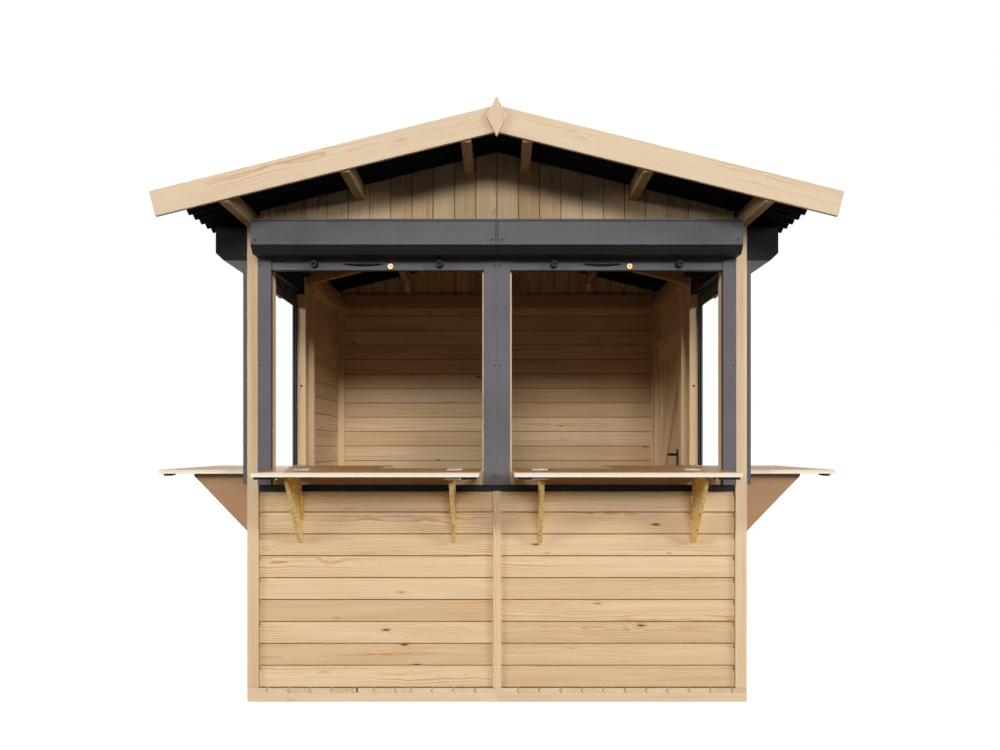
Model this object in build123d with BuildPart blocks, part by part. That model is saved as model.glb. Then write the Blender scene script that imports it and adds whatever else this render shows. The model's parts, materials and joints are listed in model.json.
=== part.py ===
"""Wooden market stall: a 2.5 m square timber hut with four counter openings under rolled-up
shutters, folding counter flaps on swinging brackets, a rear side door and a gable roof of
corrugated sheets whose ridge runs from front to back.

Frame: millimetres, +X to the right and +Y to the back seen from the front, +Z up. The origin is
on the ground, at the centre of the plan.
"""
import os
from math import cos, pi, radians, sin, tan

from build123d import *

os.makedirs("parts", exist_ok=True)

# ---------------------------------------------------------------- driving dimensions
width = 2500.0                  # across the front, over the corner trims
depth = 2500.0                  # from the front trims to the back trims
bearer_height = 45.0
bearer_width = 70.0
bearer_rows = 5
floor_thickness = 24.0
floor_board = 107.0             # pitch of the floor boards
low_wall_height = 986.0         # floor to the sill profiles
wall_height = 2311.0            # floor to the top of the side walls
board_cover = 110.0             # height that one wall board shows
board_thickness = 19.0
cove_height = 25.0              # recessed strip along each board's top edge
cove_depth = 5.0
trim_width = 57.0
trim_thickness = 20.0
batten_width = 42.0
stud = 45.0                     # side of the square studs
front_jamb = 124.0              # corner to the front opening
side_jamb = 87.0                # corner to the side opening, and depth of the front posts
centre_post = 147.0             # width of the post between the front openings
mid_post_width = 105.0
mid_post_depth = 53.0
plate_height = 45.0
header_height = 110.0

counter_height = 1090.0         # floor to the top of the counters
counter_thickness = 21.0
counter_reach = 480.0           # hinge line to the outer edge of a front flap
side_counter_reach = 520.0
hinge_inset = 40.0              # wall plane to the hinge line of the flaps
flap_gap = 7.5                  # side clearance of a flap between posts and rails
front_worktop = 347.0           # depth of the inner worktops behind the front flaps
side_worktop = 565.0
bracket_thickness = 18.0
bracket_height = 337.0
bracket_reach = 325.0
bracket_tip = 14.0              # blunt ends of the triangular brackets
bracket_standoff = 5.0          # wall plane to the back edge of a bracket
front_bracket_inset = 134.0     # flap end to the bracket
side_bracket_inset = 106.0
hinge_radius = 3.5              # knuckles of the flap and bracket hinges
hinge_leaf = 2.0                # thickness of their leaves
leaf_gap = 1.2                  # knuckle to the moving leaf
flap_leaf_length = 80.0         # along the hinge line
flap_leaf_width = 32.0
bracket_leaf_length = 120.0
bracket_leaf_width = 18.0
bracket_leaf_foot = 110.0       # bracket's lower end to its hinge

rail_width = 65.0
rail_depth = 28.0
rail_overlap = 56.0             # how far a side rail laps over its post
slot_width = 9.0                # curtain slot in the guide rails
slot_depth = 30.0
profile_height = 30.0           # sill profile under the rails
box_size = 165.0                # shutter box, square but for its lower chamfer
box_chamfer = 40.0
box_lid = 12.0
box_head = 2.0                  # top of the side walls to the top of the boxes
cap_thickness = 5.0
cap_rim = 1.5
bar_height = 39.0
bar_thickness = 14.0
bar_drop = 57.0                 # box underside to the bottom edge of the bar
slat_thickness = 8.0
stop_radius = 18.0
stop_length = 38.0
stop_inset = 219.0              # guide rail to a stop on the side shutters
grip_length = 190.0
grip_height = 17.0
grip_depth = 12.0
lock_radius = 13.5
lock_length = 7.0

roof_pitch = 13.9               # degrees
wave_pitch = 95.0               # corrugations of the roof sheets
wave_height = 38.0
wave_steps = 8                  # straight facets that follow each wave
sheet_thickness = 3.0
eave_overhang = 230.0           # side wall plane to the sheets' lower edge
purlin_width = 45.0
purlin_height = 66.0            # at the purlin's lower side
ridge_purlin = 140.0            # centre line to the middle of an upper purlin
rafter_width = 45.0
rafter_height = 94.0
barge_width = 116.0
barge_thickness = 20.0
barge_drop = 65.0               # sheets' underside to the barge board's lower edge
barge_overhang = 284.0
gable_overhang = 460.0          # gable trims to the barge boards
finial_width = 90.0
finial_height = 180.0
cap_wing = 150.0                # ridge cap, along the slope

door_width = 900.0
door_height = 1925.0
door_margin = 100.0             # mid post to the door leaf
door_rear = 230.0               # door leaf to the outer face of the back trims
door_gap = 6.0
ledge_width = 95.0
ledge_thickness = 19.0
knuckle_radius = 6.0
hinge_height = 60.0
hinge_plate = 3.0
hinge_strap = 300.0
door_hinge_inset = 250.0        # door's ends to the middle of its hinges
hinge_shoulder = 40.0           # where a strap begins to taper
strap_root = 20.0               # half the strap's width there
strap_tip = 10.0
door_lock_height = 1130.0       # floor to the middle of the lock
lock_backset = 12.0             # leaf's edge to the lock case
lock_case_width = 85.0
lock_case_height = 120.0
lock_case_depth = 20.0
lock_plate_width = 40.0         # outer plate
lock_plate_depth = 4.0
spindle_radius = 8.0
spindle_length = 40.0
spindle_rise = 25.0             # lock's middle to the spindle, and spindle to the case's edge
lever_length = 120.0
lever_height = 18.0
lever_depth = 12.0

seat = 0.5                      # clearance between neighbouring pieces
pin_gap = 0.4                   # clearance on each side of a hinge line
roof_gap = 2.0                  # clearance of the gable boards round purlins and under the sheets
post_gap = 3.0                  # corner trim to the edge of a front shutter

# ---------------------------------------------------------------- places worked out from them
side = width / 2
back = depth / 2
front = -back
floor_top = bearer_height + floor_thickness
sill = floor_top + low_wall_height
wall_top = floor_top + wall_height
plate_bottom = wall_top - plate_height
lining = trim_thickness + board_thickness       # wall plane to the boards' inner face
stud_depth = lining + stud                      # wall plane to the studs' inner face
rail_foot = sill + profile_height + 2 * seat
rail_top = wall_top - box_head - box_size
counter_top = floor_top + counter_height
counter_bottom = counter_top - counter_thickness
door_back = back - door_rear
door_front = door_back - door_width
opening_front = front + side_jamb               # ends of the side openings
opening_back = door_front - door_margin - mid_post_width
side_opening = opening_back - opening_front
front_shutter = side - trim_width - post_gap    # width of a front shutter over its rails
side_shutter = side_opening + 2 * rail_overlap
side_centre = (opening_front + opening_back) / 2
stop_spacing = side_shutter - 2 * (rail_width + stop_inset)
slope = tan(radians(roof_pitch))
along = cos(radians(roof_pitch))
eave_purlin = side - 15.0
middle_purlin = (ridge_purlin + eave_purlin) / 2
ridge_under = wall_top + purlin_height + (eave_purlin + purlin_width / 2) * slope
wave_count = round((depth + 2 * gable_overhang) / wave_pitch)
roof_half = wave_count * wave_pitch / 2         # middle of the roof to either barge board
door_bottom = floor_top + door_gap
door_axis = (side - trim_thickness + knuckle_radius + 1.0, door_back + 2.5)
bracket_top = counter_bottom - 2 * pin_gap
bar_bottom = rail_top - bar_drop
slat_place = rail_depth / 2                     # wall plane to the curtain's middle


def under_roof(x):
    """Height of the sheets' underside at a distance x from the ridge."""
    return ridge_under - abs(x) * slope


def wall(x, y, outward):
    """Upright plane on the ground facing outward, its x to the right as seen from outside."""
    out = Vector(*outward)
    return Plane(origin=(x, y, 0), x_dir=Vector(0, 0, 1).cross(out), z_dir=out)


def section(face, x):
    """Plane across a wall at x along it: its x points outwards and its y up."""
    return Plane(origin=face.from_local_coords((x, 0, 0)), x_dir=face.z_dir, z_dir=-face.x_dir)


def block(x, y, z):
    """Extrude the plan rectangle between the limits x and y from height z[0] to z[1]."""
    with BuildSketch(Plane.XY.offset(z[0])) as plan:
        with Locations(((x[0] + x[1]) / 2, (y[0] + y[1]) / 2)):
            Rectangle(abs(x[1] - x[0]), abs(y[1] - y[0]))
    extrude(plan.sketch, amount=z[1] - z[0])


def boarding(face, x, low, high):
    """Horizontal boards with a cove along each top edge, on a wall's plane, between x[0] and x[1]."""
    points = [(0, low)]
    z = low
    while z < high - cove_height:
        shoulder = min(z + board_cover - cove_height, high)
        points += [(board_thickness, z), (board_thickness, shoulder)]
        if shoulder < high:
            top = min(z + board_cover, high)
            inner = board_thickness - cove_depth
            points += [(inner, min(shoulder + cove_depth, top)), (inner, top)]
        z += board_cover
    points += [(0, high)]
    with BuildSketch(section(face, x[1])) as profile:
        with BuildLine():
            Polyline(*points, close=True)
        make_face()
    extrude(profile.sketch, amount=x[1] - x[0])


def save(piece, node):
    """Label a finished piece and write it."""
    piece.part.label = node
    export_step(piece.part, f"parts/{node}.step")


front_face = wall(0, front, (0, -1, 0))
back_face = wall(0, back, (0, 1, 0))
right_face = wall(side, 0, (1, 0, 0))
left_face = wall(-side, 0, (-1, 0, 0))
front_lining = wall(0, front + lining, (0, -1, 0))
back_lining = wall(0, back - lining, (0, 1, 0))
right_lining = wall(side - lining, 0, (1, 0, 0))
left_lining = wall(lining - side, 0, (-1, 0, 0))

# ---------------------------------------------------------------- floor
with BuildPart() as floor_bearers:
    half = side - 1.0
    with BuildSketch():
        with GridLocations(side, (depth - bearer_width) / (bearer_rows - 1), 2, bearer_rows):
            Rectangle(half, bearer_width)
    extrude(amount=bearer_height)
save(floor_bearers, "floor_bearers")

groove = 2.5
with BuildPart() as floor_panels:
    for sign in (-1, 1):
        with BuildSketch(Plane.XZ.offset(-back)):
            with Locations((sign * side / 2, floor_top)):
                Rectangle(side - seat, floor_thickness - seat, align=(Align.CENTER, Align.MAX))
            joints = [sign * k * floor_board for k in range(1, int((side - groove) // floor_board) + 1)]
            with Locations(*[(x, floor_top) for x in joints]):
                Rectangle(groove, groove, rotation=45, mode=Mode.SUBTRACT)
        extrude(amount=depth)
save(floor_panels, "floor_panels")

# ---------------------------------------------------------------- posts, studs and plates
post_inner = back - side_jamb                   # inner face of the front posts, from the centre
jamb_inner = side - front_jamb
with BuildPart() as corner_posts:
    for sign in (-1, 1):
        lower = (sign * jamb_inner, sign * (side - lining - seat))
        block(lower, (front + lining + seat, -post_inner), (floor_top, rail_foot))
        # above the sill the post fills the corner up to the trim and frames both openings
        with BuildSketch(Plane.XY.offset(rail_foot)):
            with Locations((sign * (jamb_inner + side) / 2, (front - post_inner) / 2)):
                Rectangle(front_jamb, side_jamb)
            with Locations((sign * (side - trim_width / 2), front + trim_width / 2)):
                Rectangle(trim_width + 2 * seat, trim_width + 2 * seat, mode=Mode.SUBTRACT)
            core = trim_width - trim_thickness
            corner = side - trim_thickness - core / 2 - seat
            with Locations((sign * corner, front + trim_thickness + core / 2 + seat)):
                Rectangle(core + 2 * seat, core + 2 * seat)
        extrude(amount=plate_bottom - rail_foot - seat)
        block(
            (sign * (side - stud_depth), sign * (side - lining - seat)),
            (back - stud_depth, back - lining - seat),
            (floor_top, plate_bottom - seat),
        )
save(corner_posts, "corner_posts")

with BuildPart() as opening_posts:
    block((-stud, stud), (front + lining + seat, -post_inner), (floor_top, rail_foot))
    block(
        (-centre_post / 2, centre_post / 2),
        (front, -post_inner),
        (rail_foot, plate_bottom - seat),
    )
    for sign in (-1, 1):
        block(
            (sign * (side - mid_post_depth), sign * side),
            (opening_back, opening_back + mid_post_width),
            (floor_top, wall_top - seat),
        )
save(opening_posts, "opening_posts")

with BuildPart() as wall_studs:
    rear = opening_back + mid_post_width + seat
    block(
        (-side + lining + seat, -side + stud_depth),
        (rear, rear + stud),
        (floor_top, plate_bottom - seat),
    )
    block(
        (-stud / 2, stud / 2),
        (back - stud_depth, back - lining - seat),
        (floor_top, plate_bottom - seat),
    )
save(wall_studs, "wall_studs")

gable_plate_top = plate_bottom + 2 * stud + seat
with BuildPart() as wall_plates:
    reach = side - lining - seat
    for sign in (-1, 1):
        block(
            (-reach, reach),
            (sign * (back - stud_depth), sign * (back - lining - seat)),
            (plate_bottom, gable_plate_top),
        )
        inner, outer = sign * (side - stud_depth), sign * (side - lining - seat)
        end = back - stud_depth - seat
        block((inner, outer), (-end, opening_back - seat), (plate_bottom, wall_top - seat))
        block((inner, outer), (rear, end), (plate_bottom, wall_top - seat))
save(wall_plates, "wall_plates")

with BuildPart() as opening_headers:
    heights = (plate_bottom - header_height, plate_bottom - seat)
    for sign in (-1, 1):
        block(
            (sign * (centre_post / 2 + seat), sign * (jamb_inner - seat)),
            (front + seat, front + stud),
            heights,
        )
        block(
            (sign * (side - stud), sign * (side - seat)),
            (opening_front + seat, opening_back - seat),
            heights,
        )
save(opening_headers, "opening_headers")

with BuildPart() as sill_rails:
    heights = (sill + seat, counter_bottom - seat)
    for sign in (-1, 1):
        block(
            (sign * (centre_post / 2 + seat), sign * (jamb_inner - seat)),
            (front + trim_thickness + seat, -post_inner),
            heights,
        )
        block(
            (sign * (side - side_jamb), sign * (side - mid_post_depth - seat)),
            (opening_front + seat, opening_back - seat),
            heights,
        )
save(sill_rails, "sill_rails")

# ---------------------------------------------------------------- walls
wall_end = side - trim_width - seat
wall_back = back - trim_width - seat
with BuildPart() as front_wall:
    boarding(front_lining, (-wall_end, -seat), floor_top + seat, sill)
    boarding(front_lining, (seat, wall_end), floor_top + seat, sill)
save(front_wall, "front_wall")

with BuildPart() as side_walls_low:
    for face, turn in ((right_lining, 1), (left_lining, -1)):
        ends = sorted((turn * -wall_back, turn * (opening_back - seat)))
        boarding(face, ends, floor_top + seat, sill)
save(side_walls_low, "side_walls_low")

with BuildPart() as left_wall_rear:
    boarding(left_lining, (-wall_back, -rear), floor_top + seat, wall_top - seat)
save(left_wall_rear, "left_wall_rear")

door_head = door_bottom + door_height + door_gap
with BuildPart() as right_wall_rear:
    boarding(right_lining, (rear, door_front - door_gap), floor_top + seat, wall_top - seat)
    boarding(right_lining, (door_back + door_gap, wall_back), floor_top + seat, wall_top - seat)
    over = (door_front - door_gap + seat, door_back + door_gap - seat)
    boarding(right_lining, over, door_head, wall_top - seat)
save(right_wall_rear, "right_wall_rear")

with BuildPart() as back_wall:
    boarding(back_lining, (-wall_end, -seat), floor_top + seat, plate_bottom)
    boarding(back_lining, (seat, wall_end), floor_top + seat, plate_bottom)
save(back_wall, "back_wall")

with BuildPart() as corner_trims:
    for x in (-side, side):
        for y in (front, back):
            with BuildSketch(Plane.XY.offset(floor_top + seat)):
                with Locations((x - (trim_width / 2 if x > 0 else -trim_width / 2),
                                y - (trim_width / 2 if y > 0 else -trim_width / 2))):
                    Rectangle(trim_width, trim_width)
                inner = trim_thickness + trim_width / 2
                with Locations((x - (inner if x > 0 else -inner), y - (inner if y > 0 else -inner))):
                    Rectangle(trim_width, trim_width, mode=Mode.SUBTRACT)
            extrude(amount=wall_top - floor_top - 2 * seat)
save(corner_trims, "corner_trims")

with BuildPart() as cover_battens:
    limits = (-batten_width / 2, batten_width / 2)
    block(limits, (front, front + trim_thickness - seat), (floor_top + seat, sill))
    foot = plate_bottom - batten_width / 2
    block(limits, (back - trim_thickness + seat, back), (floor_top + seat, foot - seat))
    block((-wall_end, wall_end), (back - trim_thickness + seat, back), (foot, foot + batten_width))
save(cover_battens, "cover_battens")

# ---------------------------------------------------------------- door
door_skin = side - lining                       # inner face of the door's boards
with BuildPart() as door_frame:
    inner, outer = side - stud_depth, side - lining - seat
    block((inner, outer), (rear, door_front - door_gap), (floor_top, plate_bottom - seat))
    block((inner, outer), (door_back + door_gap, door_back + door_gap + stud),
          (floor_top, plate_bottom - seat))
    block((inner, outer), over, (door_head, door_head + stud))
save(door_frame, "door_frame")

with BuildPart() as door_leaf:
    block((door_skin, side - trim_thickness), (door_front, door_back),
          (door_bottom, door_bottom + door_height))
save(door_leaf, "door_leaf")

with BuildPart() as door_ledges:
    inner, outer = door_skin - ledge_thickness, door_skin - seat
    door_top = door_bottom + door_height
    for y in (door_front, door_back - ledge_width):
        block((inner, outer), (y, y + ledge_width), (door_bottom, door_top))
    middle = door_bottom + door_height / 2
    ends = (door_front + ledge_width + seat, door_back - ledge_width - seat)
    for z in (door_bottom, middle - ledge_width / 2, door_top - ledge_width):
        block((inner, outer), ends, (z, z + ledge_width))
    # a brace rises from the hinge side to the lock side in each half
    for low in (door_bottom + ledge_width + seat, middle + ledge_width / 2 + seat):
        high = low + door_height / 2 - 1.5 * ledge_width - 2 * seat
        with BuildSketch(Plane.YZ.offset(inner)):
            with BuildLine():
                Polyline(
                    (ends[1], low),
                    (ends[1], low + ledge_width),
                    (ends[0] + ledge_width, high),
                    (ends[0], high),
                    (ends[0], high - ledge_width),
                    (ends[1] - ledge_width, low),
                    close=True,
                )
            make_face()
        extrude(amount=outer - inner)
save(door_ledges, "door_ledges")

hinge_levels = (door_bottom + door_hinge_inset, door_top - door_hinge_inset)
with BuildPart() as door_hinges:
    for z in hinge_levels:
        with BuildSketch(Plane.XY.offset(z - hinge_height / 2)):
            with Locations(door_axis):
                Circle(knuckle_radius)
        extrude(amount=hinge_height)
        plate_x = side - trim_thickness + pin_gap
        with BuildSketch(Plane.YZ.offset(plate_x)):
            with BuildLine():
                Polyline(
                    (door_axis[1], z - hinge_height / 2),
                    (door_axis[1], z + hinge_height / 2),
                    (door_axis[1] - hinge_shoulder, z + strap_root),
                    (door_axis[1] - hinge_strap, z + strap_tip),
                    (door_axis[1] - hinge_strap, z - strap_tip),
                    (door_axis[1] - hinge_shoulder, z - strap_root),
                    close=True,
                )
            make_face()
        extrude(amount=hinge_plate)
save(door_hinges, "door_hinges")

with BuildPart() as door_hinge_plates:
    plate_y = door_axis[1] + knuckle_radius - seat
    for z in hinge_levels:
        block((plate_x, plate_x + hinge_plate), (plate_y, plate_y + hinge_shoulder),
              (z - hinge_height / 2, z + hinge_height / 2))
save(door_hinge_plates, "door_hinge_plates")

lock_z = floor_top + door_lock_height
with BuildPart() as door_lock:
    lock_y = door_front + lock_backset
    lock_x = door_skin - ledge_thickness - pin_gap
    block((lock_x - lock_case_depth, lock_x), (lock_y, lock_y + lock_case_width),
          (lock_z - lock_case_height / 2, lock_z + lock_case_height / 2))
    lever_y = lock_y + lock_case_width - spindle_rise
    lever_x = lock_x - lock_case_depth
    for x, out in ((lever_x, -1), (side - trim_thickness + pin_gap, 1)):
        if out > 0:
            block((x, x + lock_plate_depth),
                  (lever_y - lock_plate_width / 2, lever_y + lock_plate_width / 2),
                  (lock_z - lock_case_height / 2, lock_z + lock_case_height / 2))
        with BuildSketch(Plane.YZ.offset(x)):
            with Locations((lever_y, lock_z + spindle_rise)):
                Circle(spindle_radius)
        extrude(amount=out * spindle_length)
        with BuildSketch(Plane.YZ.offset(x + out * (spindle_length + 2.0 - lever_depth))):
            with Locations((lever_y + lever_length / 2 - lever_height / 2 - 1.0, lock_z + spindle_rise)):
                SlotOverall(lever_length, lever_height)
        extrude(amount=out * lever_depth)
save(door_lock, "door_lock")

# ---------------------------------------------------------------- counters
flap_inner = centre_post / 2 + flap_gap
flap_outer = front_shutter - rail_width - flap_gap
side_flap = (
    side_centre - side_shutter / 2 + rail_width + flap_gap,
    side_centre + side_shutter / 2 - rail_width - flap_gap,
)
front_hinge = front + hinge_inset
side_hinge = side - hinge_inset
counter_levels = (counter_bottom, counter_top)
worktop_back = front_hinge + front_worktop

with BuildPart() as front_worktops:
    for sign in (-1, 1):
        block((sign * flap_inner, sign * flap_outer),
              (front_hinge + pin_gap, worktop_back), counter_levels)
save(front_worktops, "front_worktops")

with BuildPart() as side_worktops:
    for sign in (-1, 1):
        outer = sign * (side_hinge - pin_gap)
        block((sign * (side_hinge - side_worktop), outer),
              (worktop_back + seat, side_flap[1]), counter_levels)
        block((sign * (flap_outer + seat), outer),
              (side_flap[0], worktop_back + seat), counter_levels)
save(side_worktops, "side_worktops")

brackets = {
    "front_left_a": (front_face, -flap_outer + front_bracket_inset),
    "front_left_b": (front_face, -flap_inner - front_bracket_inset),
    "front_right_a": (front_face, flap_inner + front_bracket_inset),
    "front_right_b": (front_face, flap_outer - front_bracket_inset),
    "right_a": (right_face, side_flap[0] + side_bracket_inset),
    "right_b": (right_face, side_flap[1] - side_bracket_inset),
    "left_a": (left_face, -side_flap[1] + side_bracket_inset),
    "left_b": (left_face, -side_flap[0] - side_bracket_inset),
}
# a hinge stands over each bracket, its knuckle above the joint between worktop and flap
with BuildPart() as counter_hinges:
    for face, x in brackets.values():
        with BuildSketch(section(face, x + flap_leaf_length / 2)):
            with Locations((-hinge_inset, counter_top + pin_gap + hinge_radius)):
                Circle(hinge_radius)
            with Locations((-hinge_inset, counter_top + pin_gap)):
                Rectangle(flap_leaf_width, hinge_leaf, align=(Align.MAX, Align.MIN))
        extrude(amount=flap_leaf_length)
save(counter_hinges, "counter_hinges")

flaps = {
    "front_left": ((-flap_outer, -flap_inner), (front_hinge - counter_reach, front_hinge - pin_gap)),
    "front_right": ((flap_inner, flap_outer), (front_hinge - counter_reach, front_hinge - pin_gap)),
    "left": ((-side_hinge - side_counter_reach, -side_hinge - pin_gap), side_flap),
    "right": ((side_hinge + pin_gap, side_hinge + side_counter_reach), side_flap),
}
for name, (x_limits, y_limits) in flaps.items():
    with BuildPart() as flap:
        block(x_limits, y_limits, counter_levels)
        for face, x in (brackets[f"{name}_a"], brackets[f"{name}_b"]):
            with BuildSketch(section(face, x + flap_leaf_length / 2)):
                with Locations((hinge_radius + leaf_gap - hinge_inset, counter_top)):
                    Rectangle(flap_leaf_width - hinge_radius - leaf_gap, pin_gap + hinge_leaf,
                              align=(Align.MIN, Align.MIN))
            extrude(amount=flap_leaf_length)
    save(flap, f"flap_{name}")


bracket_foot = bracket_top - bracket_height
leaf_foot = bracket_foot + bracket_leaf_foot


def level(face, x, z):
    """Plane at height z with its origin on a wall at x, its x along the wall and its y inwards."""
    return Plane(origin=face.from_local_coords((x, z, 0)), x_dir=face.x_dir, z_dir=face.y_dir)


def bracket(face, x, turn, node):
    """Triangular plate standing out from a wall at x along it, hinged on the side that turn gives."""
    with BuildPart() as plate:
        with BuildSketch(section(face, x + bracket_thickness / 2)):
            with BuildLine():
                Polyline(
                    (bracket_standoff, bracket_top),
                    (bracket_standoff, bracket_foot),
                    (bracket_standoff + bracket_tip, bracket_foot),
                    (bracket_standoff + bracket_reach, bracket_top - bracket_tip),
                    (bracket_standoff + bracket_reach, bracket_top),
                    close=True,
                )
            make_face()
        extrude(amount=bracket_thickness)
        with BuildSketch(level(face, x, leaf_foot)):
            leaf = (
                turn * (bracket_thickness + pin_gap + hinge_leaf) / 2,
                -bracket_standoff - hinge_radius - leaf_gap,
            )
            with Locations(leaf):
                Rectangle(pin_gap + hinge_leaf, bracket_leaf_width, align=(Align.CENTER, Align.MAX))
        extrude(amount=bracket_leaf_length)
    save(plate, node)


# the first bracket of each flap swings to the right as seen from outside, the second to the left
swing_side = {name: 1 if name.endswith("_a") else -1 for name in brackets}
for name, (face, x) in brackets.items():
    bracket(face, x, swing_side[name], f"bracket_{name}")

with BuildPart() as bracket_hinges:
    for name, (face, x) in brackets.items():
        turn = swing_side[name]
        with BuildSketch(level(face, x, leaf_foot)):
            with Locations((turn * (bracket_thickness / 2 + pin_gap + hinge_radius), -bracket_standoff)):
                Circle(hinge_radius)
            with Locations((turn * (bracket_thickness / 2 + pin_gap + hinge_leaf / 2), -bracket_standoff)):
                Rectangle(hinge_leaf, bracket_leaf_width, align=(Align.CENTER, Align.MIN))
        extrude(amount=bracket_leaf_length)
save(bracket_hinges, "bracket_hinges")

with BuildPart() as bracket_packers:
    for face, x in brackets.values():
        packer_height = sill - bracket_foot - seat
        with BuildSketch(section(face, x + bracket_thickness / 2)):
            with Locations((-trim_thickness + seat, bracket_foot)):
                Rectangle(trim_thickness + bracket_standoff - seat - pin_gap, packer_height,
                          align=(Align.MIN, Align.MIN))
        extrude(amount=bracket_thickness)
save(bracket_packers, "bracket_packers")

with BuildPart() as sill_profiles:
    heights = (sill + seat, sill + seat + profile_height)
    reach = (trim_thickness - seat)
    block((-front_shutter, front_shutter), (front, front + reach), heights)
    for sign in (-1, 1):
        block((sign * side, sign * (side - reach)), (-wall_back, opening_back - seat), heights)
save(sill_profiles, "sill_profiles")

# ---------------------------------------------------------------- roller shutters
shutters = {
    "front_left": (front_face, -front_shutter / 2, front_shutter - seat),
    "front_right": (front_face, front_shutter / 2, front_shutter - seat),
    "left": (left_face, -side_centre, side_shutter),
    "right": (right_face, side_centre, side_shutter),
}
for name, (face, x, length) in shutters.items():
    with BuildPart() as shutter_box:
        with BuildSketch(section(face, x + length / 2)) as casing:
            with BuildLine():
                Polyline(
                    (seat, rail_top + seat),
                    (seat, rail_top + box_size),
                    (box_size, rail_top + box_size),
                    (box_size, rail_top + box_chamfer),
                    (box_size - box_chamfer, rail_top + seat),
                    close=True,
                )
            make_face()
        extrude(amount=length)
        # the lid's seam is a fine groove along the face
        with BuildSketch(section(face, x + length / 2)):
            with Locations((box_size, rail_top + box_size - box_lid)):
                Rectangle(4, 2)
        extrude(amount=length, mode=Mode.SUBTRACT)
        # end caps lie over the casing with a small rim
        for place, inwards in ((x + length / 2, 1), (x - length / 2, -1)):
            with BuildSketch(section(face, place)):
                with BuildLine():
                    Polyline(
                        (seat, rail_top + seat),
                        (seat, rail_top + box_size + cap_rim),
                        (box_size + cap_rim, rail_top + box_size + cap_rim),
                        (box_size + cap_rim, rail_top + box_chamfer - cap_rim / 2),
                        (box_size - box_chamfer + cap_rim / 2, rail_top + seat),
                        close=True,
                    )
                make_face()
            extrude(amount=inwards * cap_thickness)
    save(shutter_box, f"shutter_box_{name}")

with BuildPart() as guide_rails:
    for face, x, length in shutters.values():
        for turn in (-1, 1):
            outer_edge = x + turn * length / 2
            foot = Plane(origin=face.from_local_coords((outer_edge, rail_foot, 0)),
                         x_dir=face.x_dir * -turn, z_dir=face.y_dir)
            out = 1 if foot.y_dir.dot(face.z_dir) > 0 else -1
            with BuildSketch(foot):
                with Locations((rail_width / 2, out * (seat + rail_depth) / 2)):
                    Rectangle(rail_width, rail_depth - seat)
                with Locations((rail_width - slot_depth / 2, out * slat_place)):
                    Rectangle(slot_depth, slot_width, mode=Mode.SUBTRACT)
            extrude(amount=rail_top - rail_foot - seat)
save(guide_rails, "guide_rails")

with BuildPart() as shutter_bars:
    for face, x, length in shutters.values():
        clear = length - 2 * rail_width - 2 * seat
        middle = Plane(origin=face.from_local_coords((x, 0, slat_place)),
                       x_dir=face.x_dir, z_dir=face.z_dir)
        with BuildSketch(middle):
            with Locations((0, bar_bottom + bar_height / 2)):
                Rectangle(clear, bar_height)
        extrude(amount=bar_thickness / 2, both=True)
        with BuildSketch(middle):
            with Locations((0, (bar_bottom + rail_top) / 2)):
                Rectangle(clear + 2 * slot_depth - 10, rail_top - bar_bottom - 2 * seat)
        extrude(amount=slat_thickness / 2, both=True)
save(shutter_bars, "shutter_bars")

bar_face = slat_place + bar_thickness / 2 + pin_gap
with BuildPart() as shutter_stops:
    for face, x, _ in shutters.values():
        with BuildSketch(Plane(origin=face.from_local_coords((x, 0, bar_face)),
                               x_dir=face.x_dir, z_dir=face.z_dir)):
            with Locations(*[(turn * stop_spacing / 2, bar_bottom + 27) for turn in (-1, 1)]):
                Circle(stop_radius)
        extrude(amount=stop_length)
save(shutter_stops, "shutter_stops")

with BuildPart() as shutter_grips:
    for face, x, _ in shutters.values():
        with BuildSketch(Plane(origin=face.from_local_coords((x - 70, bar_bottom + 28, bar_face)),
                               x_dir=face.x_dir, z_dir=face.z_dir)):
            with BuildLine():
                ThreePointArc((-grip_length / 2, 0), (0, grip_height / 2), (grip_length / 2, 0))
                ThreePointArc((-grip_length / 2, 0), (0, -grip_height / 2), (grip_length / 2, 0))
            make_face()
        extrude(amount=grip_depth)
save(shutter_grips, "shutter_grips")

with BuildPart() as shutter_locks:
    for face, x, _ in shutters.values():
        with BuildSketch(Plane(origin=face.from_local_coords((x + 65, bar_bottom + 18, bar_face)),
                               x_dir=face.x_dir, z_dir=face.z_dir)):
            Circle(lock_radius)
        extrude(amount=lock_length)
save(shutter_locks, "shutter_locks")

# ---------------------------------------------------------------- gables and roof timbers
purlins_at = [turn * x for x in (ridge_purlin, middle_purlin, eave_purlin) for turn in (-1, 1)]


def purlin_bottom(x):
    """Height of the level underside of a purlin centred at x."""
    return under_roof(abs(x) + purlin_width / 2) - purlin_height


for node, face, foot in (
    ("front_gable", front_lining, plate_bottom + seat),
    ("back_gable", back_lining, plate_bottom + 2 * seat),
):
    with BuildPart() as gable:
        with BuildSketch(face):
            with BuildLine():
                Polyline(
                    (-wall_end, foot),
                    (-wall_end, under_roof(wall_end) - roof_gap),
                    (0, ridge_under - roof_gap),
                    (wall_end, under_roof(wall_end) - roof_gap),
                    (wall_end, foot),
                    close=True,
                )
            make_face()
            for x in purlins_at[:4]:
                with Locations((x, purlin_bottom(x) - roof_gap)):
                    Rectangle(purlin_width + 2 * roof_gap, 2 * purlin_height, mode=Mode.SUBTRACT,
                              align=(Align.CENTER, Align.MIN))
        extrude(amount=board_thickness)
    save(gable, node)

with BuildPart() as gable_studs:
    for x in purlins_at[:4]:
        for turn in (-1, 1):
            block(
                (x - purlin_width / 2, x + purlin_width / 2),
                (turn * (back - stud_depth), turn * (back - lining - seat)),
                (gable_plate_top + seat, purlin_bottom(x) - seat),
            )
save(gable_studs, "gable_studs")

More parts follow.
